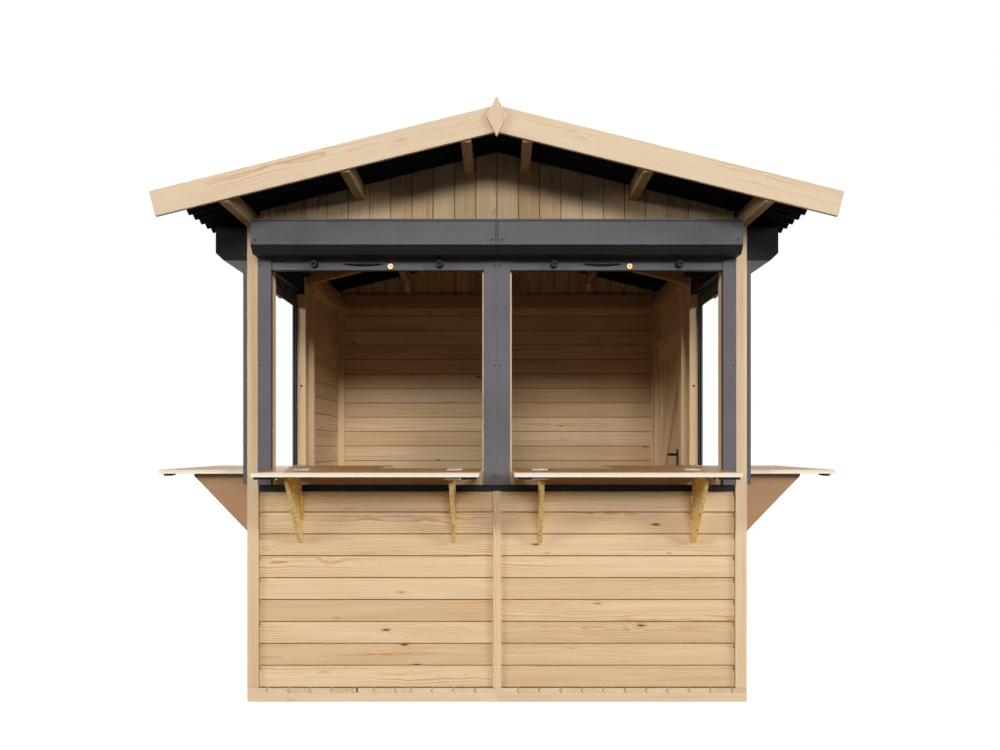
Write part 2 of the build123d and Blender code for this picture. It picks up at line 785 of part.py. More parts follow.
with BuildPart() as purlins:
    for x in purlins_at:
        low, high = x - purlin_width / 2, x + purlin_width / 2
        with BuildSketch(Plane.XZ.offset(-roof_half)):
            with BuildLine():
                Polyline(
                    (low, purlin_bottom(x)),
                    (high, purlin_bottom(x)),
                    (high, under_roof(high)),
                    (low, under_roof(low)),
                    close=True,
                )
            make_face()
        extrude(amount=2 * roof_half)
save(purlins, "purlins")

rafter_top = ridge_under - purlin_width * slope - purlin_height - seat
rafter_drop = rafter_height / along
with BuildPart() as rafters:
    for turn in (-1, 1):
        start, end = turn * seat, turn * (side - mid_post_depth - seat)
        with BuildSketch(Plane.XZ.offset(-opening_back)):
            with BuildLine():
                Polyline(
                    (start, rafter_top - seat * slope),
                    (end, rafter_top - abs(end) * slope),
                    (end, rafter_top - abs(end) * slope - rafter_drop),
                    (start, rafter_top - seat * slope - rafter_drop),
                    close=True,
                )
            make_face()
        extrude(amount=-rafter_width)
save(rafters, "rafters")

# ---------------------------------------------------------------- roof covering
sheet_length = (side + eave_overhang) / along
wave_rise = (wave_height - sheet_thickness) / 2


def wave_points(lift):
    """Points across the sheet's section on a cosine wave, lift above its underside."""
    steps = range(wave_count * wave_steps + 1)
    return [
        (
            k * wave_pitch / wave_steps - roof_half,
            lift + wave_rise * (1 - cos(2 * pi * k / wave_steps)),
        )
        for k in steps
    ]


for node, turn in (("roof_sheet_left", -1), ("roof_sheet_right", 1)):
    with BuildPart() as roof_sheet:
        ridge = Plane(
            origin=(turn * 2.0, 0, under_roof(2.0) + seat),
            x_dir=(0, turn, 0),
            z_dir=(turn * along, 0, -sin(radians(roof_pitch))),
        )
        with BuildSketch(ridge):
            with BuildLine():
                Polyline(*wave_points(0), *reversed(wave_points(sheet_thickness)), close=True)
            make_face()
        extrude(amount=sheet_length)
    save(roof_sheet, node)

with BuildPart() as ridge_cap:
    cap_under = ridge_under + wave_height / along + 2 * seat
    cap_x = cap_wing * along
    cap_fall = cap_x * slope
    rise = sheet_thickness / along
    with BuildSketch(Plane.XZ.offset(-roof_half)):
        with BuildLine():
            Polyline(
                (-cap_x, cap_under - cap_fall),
                (0, cap_under),
                (cap_x, cap_under - cap_fall),
                (cap_x, cap_under - cap_fall + rise),
                (0, cap_under + rise),
                (-cap_x, cap_under - cap_fall + rise),
                close=True,
            )
        make_face()
    extrude(amount=2 * roof_half)
save(ridge_cap, "ridge_cap")

barge_foot = ridge_under - barge_drop
barge_rise = barge_width / along
barge_end = side + barge_overhang
barge_lean = barge_width * sin(radians(roof_pitch))
with BuildPart() as barge_boards:
    for y in (-roof_half - seat, roof_half + seat + barge_thickness):
        for turn in (-1, 1):
            with BuildSketch(Plane.XZ.offset(-y)):
                with BuildLine():
                    Polyline(
                        (turn * seat, barge_foot - seat * slope),
                        (turn * barge_end, barge_foot - barge_end * slope),
                        (
                            turn * (barge_end + barge_lean),
                            barge_foot - barge_end * slope + barge_width * along,
                        ),
                        (turn * seat, barge_foot + barge_rise - seat * slope),
                        close=True,
                    )
                make_face()
            extrude(amount=barge_thickness)
save(barge_boards, "barge_boards")

with BuildPart() as finials:
    centre_z = barge_foot + barge_rise / 2 + 3.0
    for y in (-roof_half - 2 * seat - barge_thickness, roof_half + 2 * seat + 2 * barge_thickness):
        with BuildSketch(Plane.XZ.offset(-y)):
            with BuildLine():
                Polyline(
                    (0, centre_z - finial_height / 2),
                    (finial_width / 2, centre_z),
                    (0, centre_z + finial_height / 2),
                    (-finial_width / 2, centre_z),
                    close=True,
                )
            make_face()
        extrude(amount=barge_thickness)
save(finials, "finials")
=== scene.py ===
"""Looks of the wooden market stall: separate boards, timbers, counters, shutters and roof sheets
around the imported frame, in metres, with procedural materials."""

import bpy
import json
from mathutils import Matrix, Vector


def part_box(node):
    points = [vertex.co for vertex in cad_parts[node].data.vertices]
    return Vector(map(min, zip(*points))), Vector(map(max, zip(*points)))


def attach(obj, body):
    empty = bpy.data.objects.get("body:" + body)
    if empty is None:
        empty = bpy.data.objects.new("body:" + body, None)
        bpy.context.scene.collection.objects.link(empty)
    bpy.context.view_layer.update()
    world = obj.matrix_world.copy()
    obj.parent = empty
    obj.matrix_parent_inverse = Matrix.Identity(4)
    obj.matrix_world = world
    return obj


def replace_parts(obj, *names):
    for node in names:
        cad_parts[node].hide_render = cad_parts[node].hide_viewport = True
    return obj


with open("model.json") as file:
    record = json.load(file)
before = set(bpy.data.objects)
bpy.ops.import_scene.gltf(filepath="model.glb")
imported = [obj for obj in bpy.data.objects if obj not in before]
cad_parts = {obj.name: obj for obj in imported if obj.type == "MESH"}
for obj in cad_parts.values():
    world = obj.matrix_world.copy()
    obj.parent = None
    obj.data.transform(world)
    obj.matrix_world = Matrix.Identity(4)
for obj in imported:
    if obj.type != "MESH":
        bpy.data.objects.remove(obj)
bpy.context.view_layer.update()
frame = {"nodes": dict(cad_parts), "record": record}

import json
import math
import random

import bmesh
import bpy
from mathutils import Matrix, Vector

X, Y, Z = Vector((1, 0, 0)), Vector((0, 1, 0)), Vector((0, 0, 1))
BODY_OF = {node: body for body, nodes in frame["record"]["behaviour"]["bodies"].items() for node in nodes}
COLLECTION = bpy.context.scene.collection


# ---------------- shader helpers
class Nodes:
    """A node tree with short calls that add and join its nodes."""

    def __init__(self, tree):
        self.tree = tree

    def add(self, kind, *sockets, **inputs):
        """New node with its first sockets filled in order and others by name."""
        node = self.tree.nodes.new(kind)
        for socket, value in zip(node.inputs, sockets):
            self.put(socket, value)
        for key, value in inputs.items():
            self.put(node.inputs[key], value)
        return node

    def put(self, socket, value):
        if isinstance(value, bpy.types.NodeSocket):
            self.tree.links.new(value, socket)
        else:
            socket.default_value = value

    def math(self, operation, a, b=0.0, c=0.0, clamp=False):
        node = self.add("ShaderNodeMath", a, b, c)
        node.operation = operation
        node.use_clamp = clamp
        return node.outputs[0]

    def times(self, a, b):
        return self.math("MULTIPLY", a, b)

    def line(self, value, slope, start):
        """value * slope + start"""
        return self.math("MULTIPLY_ADD", value, slope, start)

    def vector(self, operation, a, b):
        node = self.add("ShaderNodeVectorMath", a, b)
        node.operation = operation
        return node.outputs[0]

    def attribute(self, name):
        node = self.add("ShaderNodeAttribute")
        node.attribute_name = name
        return node.outputs

    def place(self):
        return self.add("ShaderNodeTexCoord").outputs["Object"]

    def scaled(self, vector, scale):
        """The place and scale for a texture whose scale is one number, or one for each axis."""
        if isinstance(scale, tuple):
            return self.vector("MULTIPLY", vector, scale), 1.0
        return vector, scale

    def noise(self, vector, scale, detail=2.0, roughness=0.5):
        vector, scale = self.scaled(vector, scale)
        return self.add("ShaderNodeTexNoise", Vector=vector, Scale=scale, Detail=detail,
                        Roughness=roughness).outputs["Fac"]

    def cells(self, vector, scale):
        """Pattern of cells: the distance to the cell's point, and three random numbers of the cell."""
        vector, scale = self.scaled(vector, scale)
        node = self.add("ShaderNodeTexVoronoi", Vector=vector, Scale=scale)
        return node.outputs["Distance"], self.add("ShaderNodeSeparateColor", node.outputs["Color"]).outputs

    def ramp(self, factor, *stops):
        """Colour ramp through (place, colour) stops."""
        node = self.add("ShaderNodeValToRGB", Fac=factor)
        elements = node.color_ramp.elements
        while len(elements) < len(stops):
            elements.new(0.5)
        for element, (place, colour) in zip(elements, stops):
            element.position = place
            element.color = (*colour, 1.0)
        return node.outputs["Color"]

    def remap(self, value, low, high, to_low=0.0, to_high=1.0, smooth=True):
        node = self.add("ShaderNodeMapRange", value, low, high, to_low, to_high)
        node.interpolation_type = "SMOOTHSTEP" if smooth else "LINEAR"
        return node.outputs["Result"]

    def mix(self, factor, a, b, blend="MIX"):
        node = self.tree.nodes.new("ShaderNodeMix")
        node.data_type = "RGBA"
        node.blend_type = blend
        self.put(node.inputs["Factor"], factor)
        for key, colour in (("A", a), ("B", b)):
            socket = [s for s in node.inputs if s.name == key and s.type == "RGBA"][0]
            self.put(socket, colour if isinstance(colour, bpy.types.NodeSocket) else (*colour, 1.0))
        return [s for s in node.outputs if s.type == "RGBA"][0]


class Surface(Nodes):
    """A new material's node tree, with calls for what goes into its shader."""

    def __init__(self, name, roughness=0.5, metallic=0.0, specular=0.5):
        self.material = bpy.data.materials.new(name)
        self.material.use_nodes = True
        super().__init__(self.material.node_tree)
        self.bsdf = self.tree.nodes["Principled BSDF"]
        values = {"Roughness": roughness, "Metallic": metallic, "Specular IOR Level": specular}
        for key, value in values.items():
            self.bsdf.inputs[key].default_value = value

    def colour(self, value):
        self.put(self.bsdf.inputs["Base Color"], value)

    def rough(self, value):
        self.put(self.bsdf.inputs["Roughness"], value)

    def bump(self, height, strength, distance):
        node = self.add("ShaderNodeBump", Height=height, Strength=strength, Distance=distance)
        self.put(self.bsdf.inputs["Normal"], node.outputs["Normal"])


def pine(name, pale, mid, dark, knots=1.0):
    """Planed softwood: growth rings cut by each board's own pith, fibres, knots and a tone per board."""
    n = Surface(name, roughness=0.5, specular=0.08)
    grain = n.attribute("grain")["Vector"]
    tone = n.attribute("tone")["Fac"]
    # knots sit on a sparse grid of cells along the board
    away, lots = n.cells(grain, (3.4, 13.0, 3.0))
    chosen = n.math("GREATER_THAN", lots[0], 0.60)
    reach = n.times(chosen, n.remap(away, 0.0, 0.45, 1.0, 0.0))
    core = n.times(chosen, n.remap(away, 0.03, 0.085, knots, 0.0))
    # rings: distance from a pith line that wanders along the board and bends round the knots
    wander = n.noise(grain, (0.9, 2.0, 2.0), detail=3.0, roughness=0.55)
    _, y, z = n.add("ShaderNodeSeparateXYZ", grain).outputs
    across = n.math("ADD", y, n.line(wander, 0.10, -0.05))
    depth = n.math("ADD", z, n.line(tone, 0.05, 0.018))
    radius = n.math("SQRT", n.math("ADD", n.times(across, across), n.times(depth, depth)))
    radius = n.math("ADD", radius, n.times(reach, 0.012))
    ripple = n.noise(grain, (9.0, 30.0, 30.0))
    radius = n.math("ADD", radius, n.times(ripple, 0.006))
    phase = n.math("FRACT", n.times(radius, 165.0))
    late = n.times(n.remap(phase, 0.42, 0.88), n.remap(phase, 0.90, 0.99, 1.0, 0.0))
    patch = n.noise(grain, (1.3, 9.0, 9.0), detail=2.0)
    late = n.times(late, n.remap(patch, 0.40, 0.62, 0.35, 1.25))
    streak = n.noise(grain, (1.6, 46.0, 46.0), detail=4.0, roughness=0.6)
    broad = n.noise(grain, (0.55, 7.0, 7.0), detail=2.0)
    shade = n.math("MULTIPLY_ADD", late, 0.60, n.line(streak, 0.80, -0.30), clamp=True)
    wood = n.ramp(shade, (0.0, pale), (0.5, mid), (1.0, dark))
    tint = n.ramp(n.line(n.math("SUBTRACT", broad, 0.5), 0.9, tone),
                  (0.0, (0.86, 0.80, 0.72)), (0.45, (0.98, 0.97, 0.95)), (1.0, (1.0, 1.0, 1.0)))
    wood = n.mix(1.0, wood, tint, "MULTIPLY")
    rim = n.times(chosen, n.remap(away, 0.07, 0.15, knots * 0.4, 0.0))
    wood = n.mix(rim, wood, (0.42, 0.22, 0.09))
    wood = n.mix(core, wood, (0.13, 0.055, 0.025))
    n.colour(wood)
    n.rough(n.remap(streak, 0.2, 0.8, 0.46, 0.62))
    n.bump(n.line(late, -0.5, streak), 0.25, 0.0006)
    return n.material


def plywood(name, film, film_light, edge):
    """Film-faced plywood: a smooth mottled film on both faces and pale layered edges."""
    n = Surface(name, roughness=0.4, specular=0.25)
    grain = n.attribute("grain")["Vector"]
    height = n.attribute("rise")["Fac"]
    on_film = n.math("GREATER_THAN", n.math("ABSOLUTE", n.math("SUBTRACT", height, 0.5)), 0.49)
    mottle = n.noise(grain, (3.0, 3.0, 3.0), detail=5.0, roughness=0.65)
    weave = n.noise(grain, 320.0, detail=1.0)
    skin = n.ramp(n.line(weave, 0.25, mottle), (0.42, film), (0.85, film_light))
    layer = n.math("FRACT", n.times(height, 3.5))
    fibre = n.noise(grain, (30.0, 60.0, 420.0), detail=2.0)
    cut = n.mix(n.remap(height, 0.42, 0.5), edge, tuple(v * w for v, w in zip(edge, (0.95, 0.84, 0.72))))
    cut = n.mix(n.times(n.remap(layer, 0.42, 0.5), n.line(fibre, 0.22, 0.02)), cut,
                tuple(0.5 * v for v in edge))
    n.colour(n.mix(on_film, cut, skin))
    n.rough(n.line(on_film, -0.22, 0.64))
    n.bump(weave, 0.12, 0.0003)
    return n.material


def strand_board(name):
    """Oriented strand board: overlapping golden flakes with dark flecks."""
    n = Surface(name, roughness=0.7, specular=0.03)
    grain = n.attribute("grain")["Vector"]
    # two layers of flakes lie across each other
    swirl = n.add("ShaderNodeTexNoise", Vector=grain, Scale=14.0).outputs["Color"]
    bent = n.vector("ADD", grain, n.vector("MULTIPLY", swirl, (0.03, 0.03, 0.03)))
    _, flakes = n.cells(bent, (48.0, 105.0, 140.0))
    _, across = n.cells(bent, (115.0, 45.0, 140.0))
    value = n.mix(n.math("GREATER_THAN", across[1], 0.5), flakes[0], across[0])
    base = n.ramp(value, (0.0, (0.88, 0.48, 0.11)), (0.25, (1.0, 0.64, 0.19)),
                  (0.6, (1.0, 0.74, 0.29)), (1.0, (1.0, 0.86, 0.48)))
    fleck = n.noise(grain, (110.0, 150.0, 150.0), detail=1.0)
    mark = n.times(n.remap(fleck, 0.61, 0.66), n.math("GREATER_THAN", flakes[1], 0.45))
    n.colour(n.mix(mark, base, (0.20, 0.06, 0.008)))
    n.bump(flakes[2], 0.15, 0.0006)
    return n.material


def coated(name, base, dusty, roughness=0.42):
    """Powder-coated metal with a faint orange peel and dust in broad patches and streaks."""
    n = Surface(name, roughness=roughness, specular=0.06)
    place = n.place()
    patches = n.noise(place, 3.2, detail=6.0, roughness=0.62)
    streaks = n.noise(place, (9.0, 9.0, 1.2), detail=3.0)
    peel = n.noise(place, 240.0, detail=1.0)
    dust = n.remap(n.line(streaks, 0.4, patches), 0.45, 0.95)
    n.colour(n.mix(n.times(dust, 0.55), base, dusty))
    n.rough(n.line(patches, 0.22, roughness - 0.1))
    n.bump(peel, 0.10, 0.0004)
    return n.material


def bitumen(name):
    """Black corrugated bitumen sheet: matt fibrous surface with pale dust."""
    n = Surface(name, roughness=0.85, specular=0.03)
    place = n.place()
    fibre = n.noise(place, (60.0, 240.0, 240.0), detail=4.0, roughness=0.7)
    patches = n.noise(place, 2.6, detail=5.0, roughness=0.6)
    n.colour(n.ramp(n.line(fibre, 0.35, patches), (0.35, (0.006, 0.006, 0.007)),
                    (0.95, (0.022, 0.022, 0.024))))
    n.rough(n.remap(patches, 0.3, 0.8, 0.78, 0.95))
    n.bump(fibre, 0.6, 0.0012)
    return n.material


def plain_metal(name, colour, bright, roughness, metallic=1.0):
    """Bare or plated metal with fine brushed streaks and small bright spots."""
    n = Surface(name, roughness=roughness, metallic=metallic)
    place = n.place()
    brush = n.noise(place, (40.0, 40.0, 900.0), detail=2.0)
    stain = n.noise(place, 45.0, detail=3.0)
    n.colour(n.mix(n.remap(stain, 0.35, 0.7), colour, bright))
    n.rough(n.line(brush, 0.2, roughness - 0.08))
    n.bump(brush, 0.1, 0.0002)
    return n.material


def moulded(name, colour, light):
    """Moulded rubber with a fine grain."""
    n = Surface(name, roughness=0.5, specular=0.05)
    place = n.place()
    fine = n.noise(place, 900.0, detail=2.0)
    n.colour(n.mix(n.noise(place, 20.0, detail=3.0), colour, light))
    n.rough(n.remap(fine, 0.2, 0.8, 0.42, 0.6))
    n.bump(fine, 0.2, 0.0003)
    return n.material


WALL = pine("wall_pine", (0.83, 0.64, 0.415), (0.75, 0.51, 0.285), (0.62, 0.32, 0.125))
FRAME_PINE = pine("frame_pine", (0.86, 0.665, 0.435), (0.79, 0.565, 0.33), (0.64, 0.36, 0.16), knots=0.8)
# darker pine for the gable studs, purlins, rafters, plates and headers: painted shade of the roof
SHADED_BEAM_PINE = pine("beam_pine_painted_shade", (0.52, 0.36, 0.20), (0.44, 0.28, 0.145), (0.32, 0.17, 0.07), knots=0.8)
BARGE = pine("barge_pine", (0.82, 0.65, 0.46), (0.76, 0.57, 0.38), (0.64, 0.41, 0.23), knots=0.5)
FLOOR_PINE = pine("floor_pine", (0.85, 0.67, 0.47), (0.76, 0.56, 0.36), (0.54, 0.32, 0.15))
# darker pine on the floor's upper side: painted shade
SHADED_FLOOR_TOP = pine("floor_top_painted_shade", (0.30, 0.21, 0.13), (0.24, 0.16, 0.095), (0.15, 0.09, 0.05), knots=0.6)
JOINT = pine("joint_shade", (0.30, 0.165, 0.070), (0.23, 0.12, 0.048), (0.14, 0.07, 0.028), knots=0.3)
COUNTER = plywood("counter_film", (0.54, 0.265, 0.095), (0.74, 0.405, 0.17), (1.0, 0.93, 0.80))
BROWN_BOARD = plywood("bracket_film", (0.42, 0.235, 0.115), (0.50, 0.30, 0.155), (0.55, 0.36, 0.20))
STRAND = strand_board("bracket_strand")
ANTHRACITE = coated("anthracite_coat", (0.128, 0.120, 0.128), (0.185, 0.173, 0.187))
# darker anthracite on the boxes' undersides and chamfers: painted shade
SHADED_BOX_UNDER = coated("anthracite_painted_shade", (0.022, 0.021, 0.0215), (0.034, 0.032, 0.033))
END_CAP = coated("black_end_cap", (0.013, 0.013, 0.014), (0.028, 0.028, 0.030), roughness=0.5)
BITUMEN = bitumen("bitumen_sheet")
BLACK_STEEL = coated("black_steel", (0.016, 0.016, 0.018), (0.045, 0.045, 0.048), roughness=0.5)
ZINC = plain_metal("zinc_plate", (0.36, 0.325, 0.30), (0.55, 0.50, 0.46), 0.5)
BOLT_STEEL = plain_metal("bolt_steel", (0.10, 0.095, 0.090), (0.20, 0.19, 0.18), 0.45)
GALVANISED = plain_metal("galvanised", (0.42, 0.38, 0.33), (0.62, 0.58, 0.52), 0.45, metallic=0.2)
BRASS = plain_metal("lock_brass", (0.62, 0.36, 0.12), (0.80, 0.52, 0.22), 0.45, metallic=0.6)
YELLOW_ZINC = plain_metal("yellow_zinc", (0.42, 0.26, 0.08), (0.60, 0.40, 0.15), 0.45)
RUBBER = moulded("black_rubber", (0.004, 0.004, 0.0045), (0.010, 0.010, 0.011))
# lighter rubber for the rims of the stops and the lips of the grips: painted highlight
HIGHLIGHT_RUBBER = moulded("rubber_painted_highlight", (0.060, 0.060, 0.062), (0.11, 0.11, 0.112))
# black for the faces of plates and headers over the openings that look in or down: painted shade
HEADER_SHADE = coated("header_painted_shade", (0.010, 0.009, 0.009), (0.020, 0.019, 0.019), roughness=0.6)
# near-black sill profiles: a dark grey coat, darkened further as painted shade under the counters
SHADED_SILL = coated("sill_painted_shade", (0.019, 0.018, 0.020), (0.030, 0.029, 0.031))


# ---------------- mesh helpers
def piece(name, bm, material, body, slot, smooth=None):
    """Make an object of a bmesh, with its material and the body it rides on; the material slot is not used.
    """
    mesh = bpy.data.meshes.new(name)
    bm.to_mesh(mesh)
    bm.free()
    obj = bpy.data.objects.new(name, mesh)
    COLLECTION.objects.link(obj)
    for item in material if isinstance(material, tuple) else (material,):
        mesh.materials.append(item)
    if smooth:
        mesh.shade_smooth()
        mesh.set_sharp_from_angle(angle=math.radians(smooth))
    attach(obj, body)
    return obj


def stand_in(name, bm, material, node, slot, smooth=None):
    """Make a piece that takes the place of a CAD node and rides on its body."""
    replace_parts(piece(name, bm, material, BODY_OF[node], slot, smooth), node)


def join(target, source):
    """Append one bmesh to another, keeping its layers of the same names."""
    mesh = bpy.data.meshes.new("joint")
    source.to_mesh(mesh)
    source.free()
    target.from_mesh(mesh)
    bpy.data.meshes.remove(mesh)


def layers(bm):
    """Layers that the wood shaders read: each vertex's place in the grain, and the board's tone."""
    vectors, numbers = bm.verts.layers.float_vector, bm.verts.layers.float
    return vectors.get("grain") or vectors.new("grain"), numbers.get("tone") or numbers.new("tone")


def wood_mesh():
    """Empty bmesh that boards are joined to, with their layers."""
    bm = bmesh.new()
    layers(bm)
    return bm


def mark_grain(bm, along, rng, flat=None):
    """Write each vertex's place in the board's own axes, shifted at random, and the board's tone.

    flat is the direction that the board's face looks in."""
    along = along.normalized()
    across = (flat or (Z if abs(along.z) < 0.9 else X)).cross(along).normalized()
    up = along.cross(across)
    grain, tone = layers(bm)
    centre = sum((v.co for v in bm.verts), Vector()) / len(bm.verts)
    shift = Vector((rng.uniform(-40, 40), rng.uniform(-0.06, 0.06), rng.uniform(-0.012, 0.012)))
    shade = rng.random()
    for v in bm.verts:
        p = v.co - centre
        v[grain] = Vector((p.dot(along), p.dot(across), p.dot(up))) + shift
        v[tone] = shade


def soften(bm, width):
    """Dissolve flat seams and round the sharp edges a little."""
    least = math.radians(30)
    bmesh.ops.remove_doubles(bm, verts=bm.verts, dist=1e-5)
    bmesh.ops.dissolve_limit(bm, angle_limit=math.radians(1.0), verts=bm.verts, edges=bm.edges)
    sharp = [e for e in bm.edges if len(e.link_faces) == 2 and e.calc_face_angle(0) > least]
    bmesh.ops.bevel(bm, geom=sharp, offset=width, segments=1, affect="EDGES", clamp_overlap=True)


def corners(node):
    """Places of a CAD node's vertices."""
    return [v.co for v in frame["nodes"][node].data.vertices]


def islands(node):
    """The separate solids of a CAD node, each as its own bmesh."""
    bm = bmesh.new()
    bm.from_mesh(frame["nodes"][node].data)
    bmesh.ops.remove_doubles(bm, verts=bm.verts, dist=1e-5)
    seen, found = set(), []
    for seed in bm.verts:
        if seed in seen:
            continue
        stack, group = [seed], {seed}
        while stack:
            for edge in stack.pop().link_edges:
                for v in edge.verts:
                    if v not in group:
                        group.add(v)
                        stack.append(v)
        seen |= group
        part = bmesh.new()
        twin = {v: part.verts.new(v.co) for v in sorted(group, key=lambda v: v.index)}
        for face in bm.faces:
            if face.verts[0] in group:
                part.faces.new([twin[v] for v in face.verts])
        found.append(part)
    bm.free()
    return found


def limits(bm):
    """Lowest and highest corners of a bmesh."""
    return [Vector([pick(v.co[i] for v in bm.verts) for i in range(3)]) for pick in (min, max)]


def longest(low, high):
    """Axis along which a box is longest."""
    return max((X, Y, Z), key=(high - low).dot)


def timber(node, material, slot, edge=0.0016, direction=None, flat=None, shade_faces=None):
    """Rebuild a CAD node's solids as planed timber: softened edges and grain along each piece.

    The last argument tells of a face whether it takes the second material, which is painted shade."""
    rng = random.Random(node)
    whole = wood_mesh()
    for part in islands(node):
        low, high = limits(part)
        soften(part, edge)
        mark_grain(part, direction((low + high) / 2) if direction else longest(low, high), rng, flat)
        if shade_faces:
            part.normal_update()
            for face in part.faces:
                face.material_index = int(shade_faces(face))
        join(whole, part)
    stand_in(f"{node}_timber", whole, material, node, slot)


def cuboid(bm, low, high):
    """Add a box between two opposite corners."""
    low, high = (Vector([pick(a, b) for a, b in zip(low, high)]) for pick in (min, max))
    place = Matrix.Translation((low + high) / 2) @ Matrix.Diagonal((*(high - low), 1))
    bmesh.ops.create_cube(bm, size=1.0, matrix=place)


def prism(points, origin, right, up, out, length):
    """Bmesh of a closed outline in the plane (right, up), drawn out along out."""
    bm = bmesh.new()
    near = [bm.verts.new(origin + right * u + up * v) for u, v in points]
    far = [bm.verts.new(v.co + out * length) for v in near]
    bm.faces.new(near)
    bm.faces.new(list(reversed(far)))
    count = len(points)
    for i in range(count):
        j = (i + 1) % count
        bm.faces.new((near[j], near[i], far[i], far[j]))
    bmesh.ops.recalc_face_normals(bm, faces=bm.faces)
    return bm


def solids_of(node):
    """Lowest and highest corners of each solid of a node, ordered along X, then Y, then Z."""
    found = []
    for part in islands(node):
        found.append(limits(part))
        part.free()
    return sorted(found, key=lambda s: (round(s[0].x, 3), round(s[0].y, 3), round(s[0].z, 3)))


# ---------------- walls
BOARD_COVER, BOARD_THICKNESS = 0.110, 0.019
SLIVER = 0.004                  # what is narrower is left out
# a board's joint: the tongue's two sides and the gap beside it, from the inner face outwards
INNER_TONGUE, OUTER_TONGUE, INNER_GAP = 0.0050, 0.0065, 0.0020
JOINT_VEE, JOINT_CHAMFER, JOINT_SLIT, JOINT_PLAY = 0.004, 0.002, 0.0042, 0.0005
COVE_HEIGHT, COVE_DEPTH, COVE_RADIUS = 0.025, 0.005, 0.004
COVE_NOTCH = 0.005              # what the cove stops short of a board's ends
LEAST_FACE = 0.012              # a board with less below its cove has none


def board_outline(cover, part):
    """Section of a wall board, x outwards and y up its face: its face, or the cove above its shoulder."""
    front, inner = BOARD_THICKNESS, BOARD_THICKNESS - COVE_DEPTH
    shoulder = cover - COVE_HEIGHT
    coved = shoulder >= LEAST_FACE
    if part == "cove":
        return [(0, shoulder), (inner, shoulder), (inner, cover - JOINT_SLIT),
                (OUTER_TONGUE, cover - JOINT_SLIT), (OUTER_TONGUE, cover), (INNER_TONGUE, cover),
                (INNER_TONGUE, cover - INNER_GAP), (JOINT_CHAMFER, cover - INNER_GAP),
                (0, cover - JOINT_VEE)] if coved else []
    points = [(0, JOINT_VEE), (JOINT_CHAMFER, INNER_GAP), (INNER_TONGUE, INNER_GAP), (INNER_TONGUE, 0),
              (OUTER_TONGUE, 0), (OUTER_TONGUE, JOINT_PLAY), (front - JOINT_CHAMFER, JOINT_PLAY),
              (front, JOINT_PLAY + JOINT_CHAMFER)]
    if not coved:
        return points + [(front, cover), (0, cover)]
    for k in range(4):
        turn = math.pi / 2 * k / 3
        points.append((front - COVE_RADIUS * (1 - math.cos(turn)),
                       shoulder - COVE_RADIUS * (1 - math.sin(turn))))
    return points + [(inner, shoulder), (0, shoulder)]


def darken_joints(bm, outward, lining):
    """Give the tongues at the bottom of the boards' joints the shaded wood."""
    margin = 0.0008
    bm.normal_update()
    for face in bm.faces:
        facing = face.normal.dot(outward)
        level = face.calc_center_median().dot(outward) - lining
        sunk = level < OUTER_TONGUE + margin if facing > 0 else level > INNER_TONGUE - margin
        if sunk and abs(facing) > 0.9:
            face.material_index = 1


def wall_board(place, z, cover, low, high, out, along, length, rng):
    """One board of a wall, with its foot at height z and cut to the heights low and high.

    Its face and its cove are two strips, and the cove stops a little short of the trims."""
    trim = rng.uniform(0.0002, 0.0008), rng.uniform(0.0002, 0.0008)
    proud = rng.uniform(-0.0006, 0.0)
    board = bmesh.new()
    for part, notch in (("face", 0.0), ("cove", COVE_NOTCH)):
        outline = [(u, min(max(v, low - z), high - z)) for u, v in board_outline(cover, part)]
        if not outline or max(v for _, v in outline) - min(v for _, v in outline) < 0.001:
            continue
        cuts = [end + notch for end in trim]
        origin = place + along * cuts[0] + Z * z + out * proud
        strip = prism(outline, origin, out, Z, along, length - sum(cuts))
        bmesh.ops.remove_doubles(strip, verts=strip.verts, dist=1e-6)
        join(board, strip)
    if board.verts:
        mark_grain(board, along, rng, flat=out)
    return board


def stacked_boards(spans, low, high, lining, outward, rng):
    """Horizontal boards stacked from low to high on a wall, as a bmesh.

    Each span has its two ends along the wall, its bottom and its top. lining is the place of the boards'
    inner face along outward."""
    along = Y if abs(outward.x) > 0.5 else X
    stack = wood_mesh()
    for start, end, bottom, top in spans:
        z = low
        while z < high - SLIVER:
            cover = min(BOARD_COVER, high - z)
            if z + cover > bottom + SLIVER and z < top - SLIVER:
                join(stack, wall_board(along * start + outward * lining, z, cover, max(z, bottom),
                                       min(z + cover, top), outward, along, end - start, rng))
            z += BOARD_COVER
    darken_joints(stack, outward, lining)
    return stack


def wall_boards(node, outward):
    """Clad each solid of a wall node with separate boards, all on the same courses."""
    across, along = (0, 1) if abs(outward.x) > 0.5 else (1, 0)
    solids = solids_of(node)
    spans = [(low[along], high[along], low.z, high.z) for low, high in solids]
    lining = min(corner[across] * outward[across] for solid in solids for corner in solid)
    base, top = min(low.z for low, high in solids), max(high.z for low, high in solids)
    stack = stacked_boards(spans, base, top, lining, outward, random.Random(f"{node}_boards"))
    stand_in(f"{node}_boards", stack, (WALL, JOINT), node, "pine", smooth=35)


wall_boards("front_wall", -Y)
wall_boards("back_wall", Y)
wall_boards("left_wall_rear", -X)
wall_boards("right_wall_rear", X)


def low_side_boards():
    """Boards under the side openings, both walls in one piece."""
    node = "side_walls_low"
    rng = random.Random(node)
    whole = wood_mesh()
    for low, high in solids_of(node):
        outward = X if low.x > 0 else -X
        join(whole, stacked_boards([(low.y, high.y, low.z, high.z)], low.z, high.z,
                                   min(abs(low.x), abs(high.x)), outward, rng))
    stand_in(f"{node}_boards", whole, (WALL, JOINT), node, "pine", smooth=35)


low_side_boards()


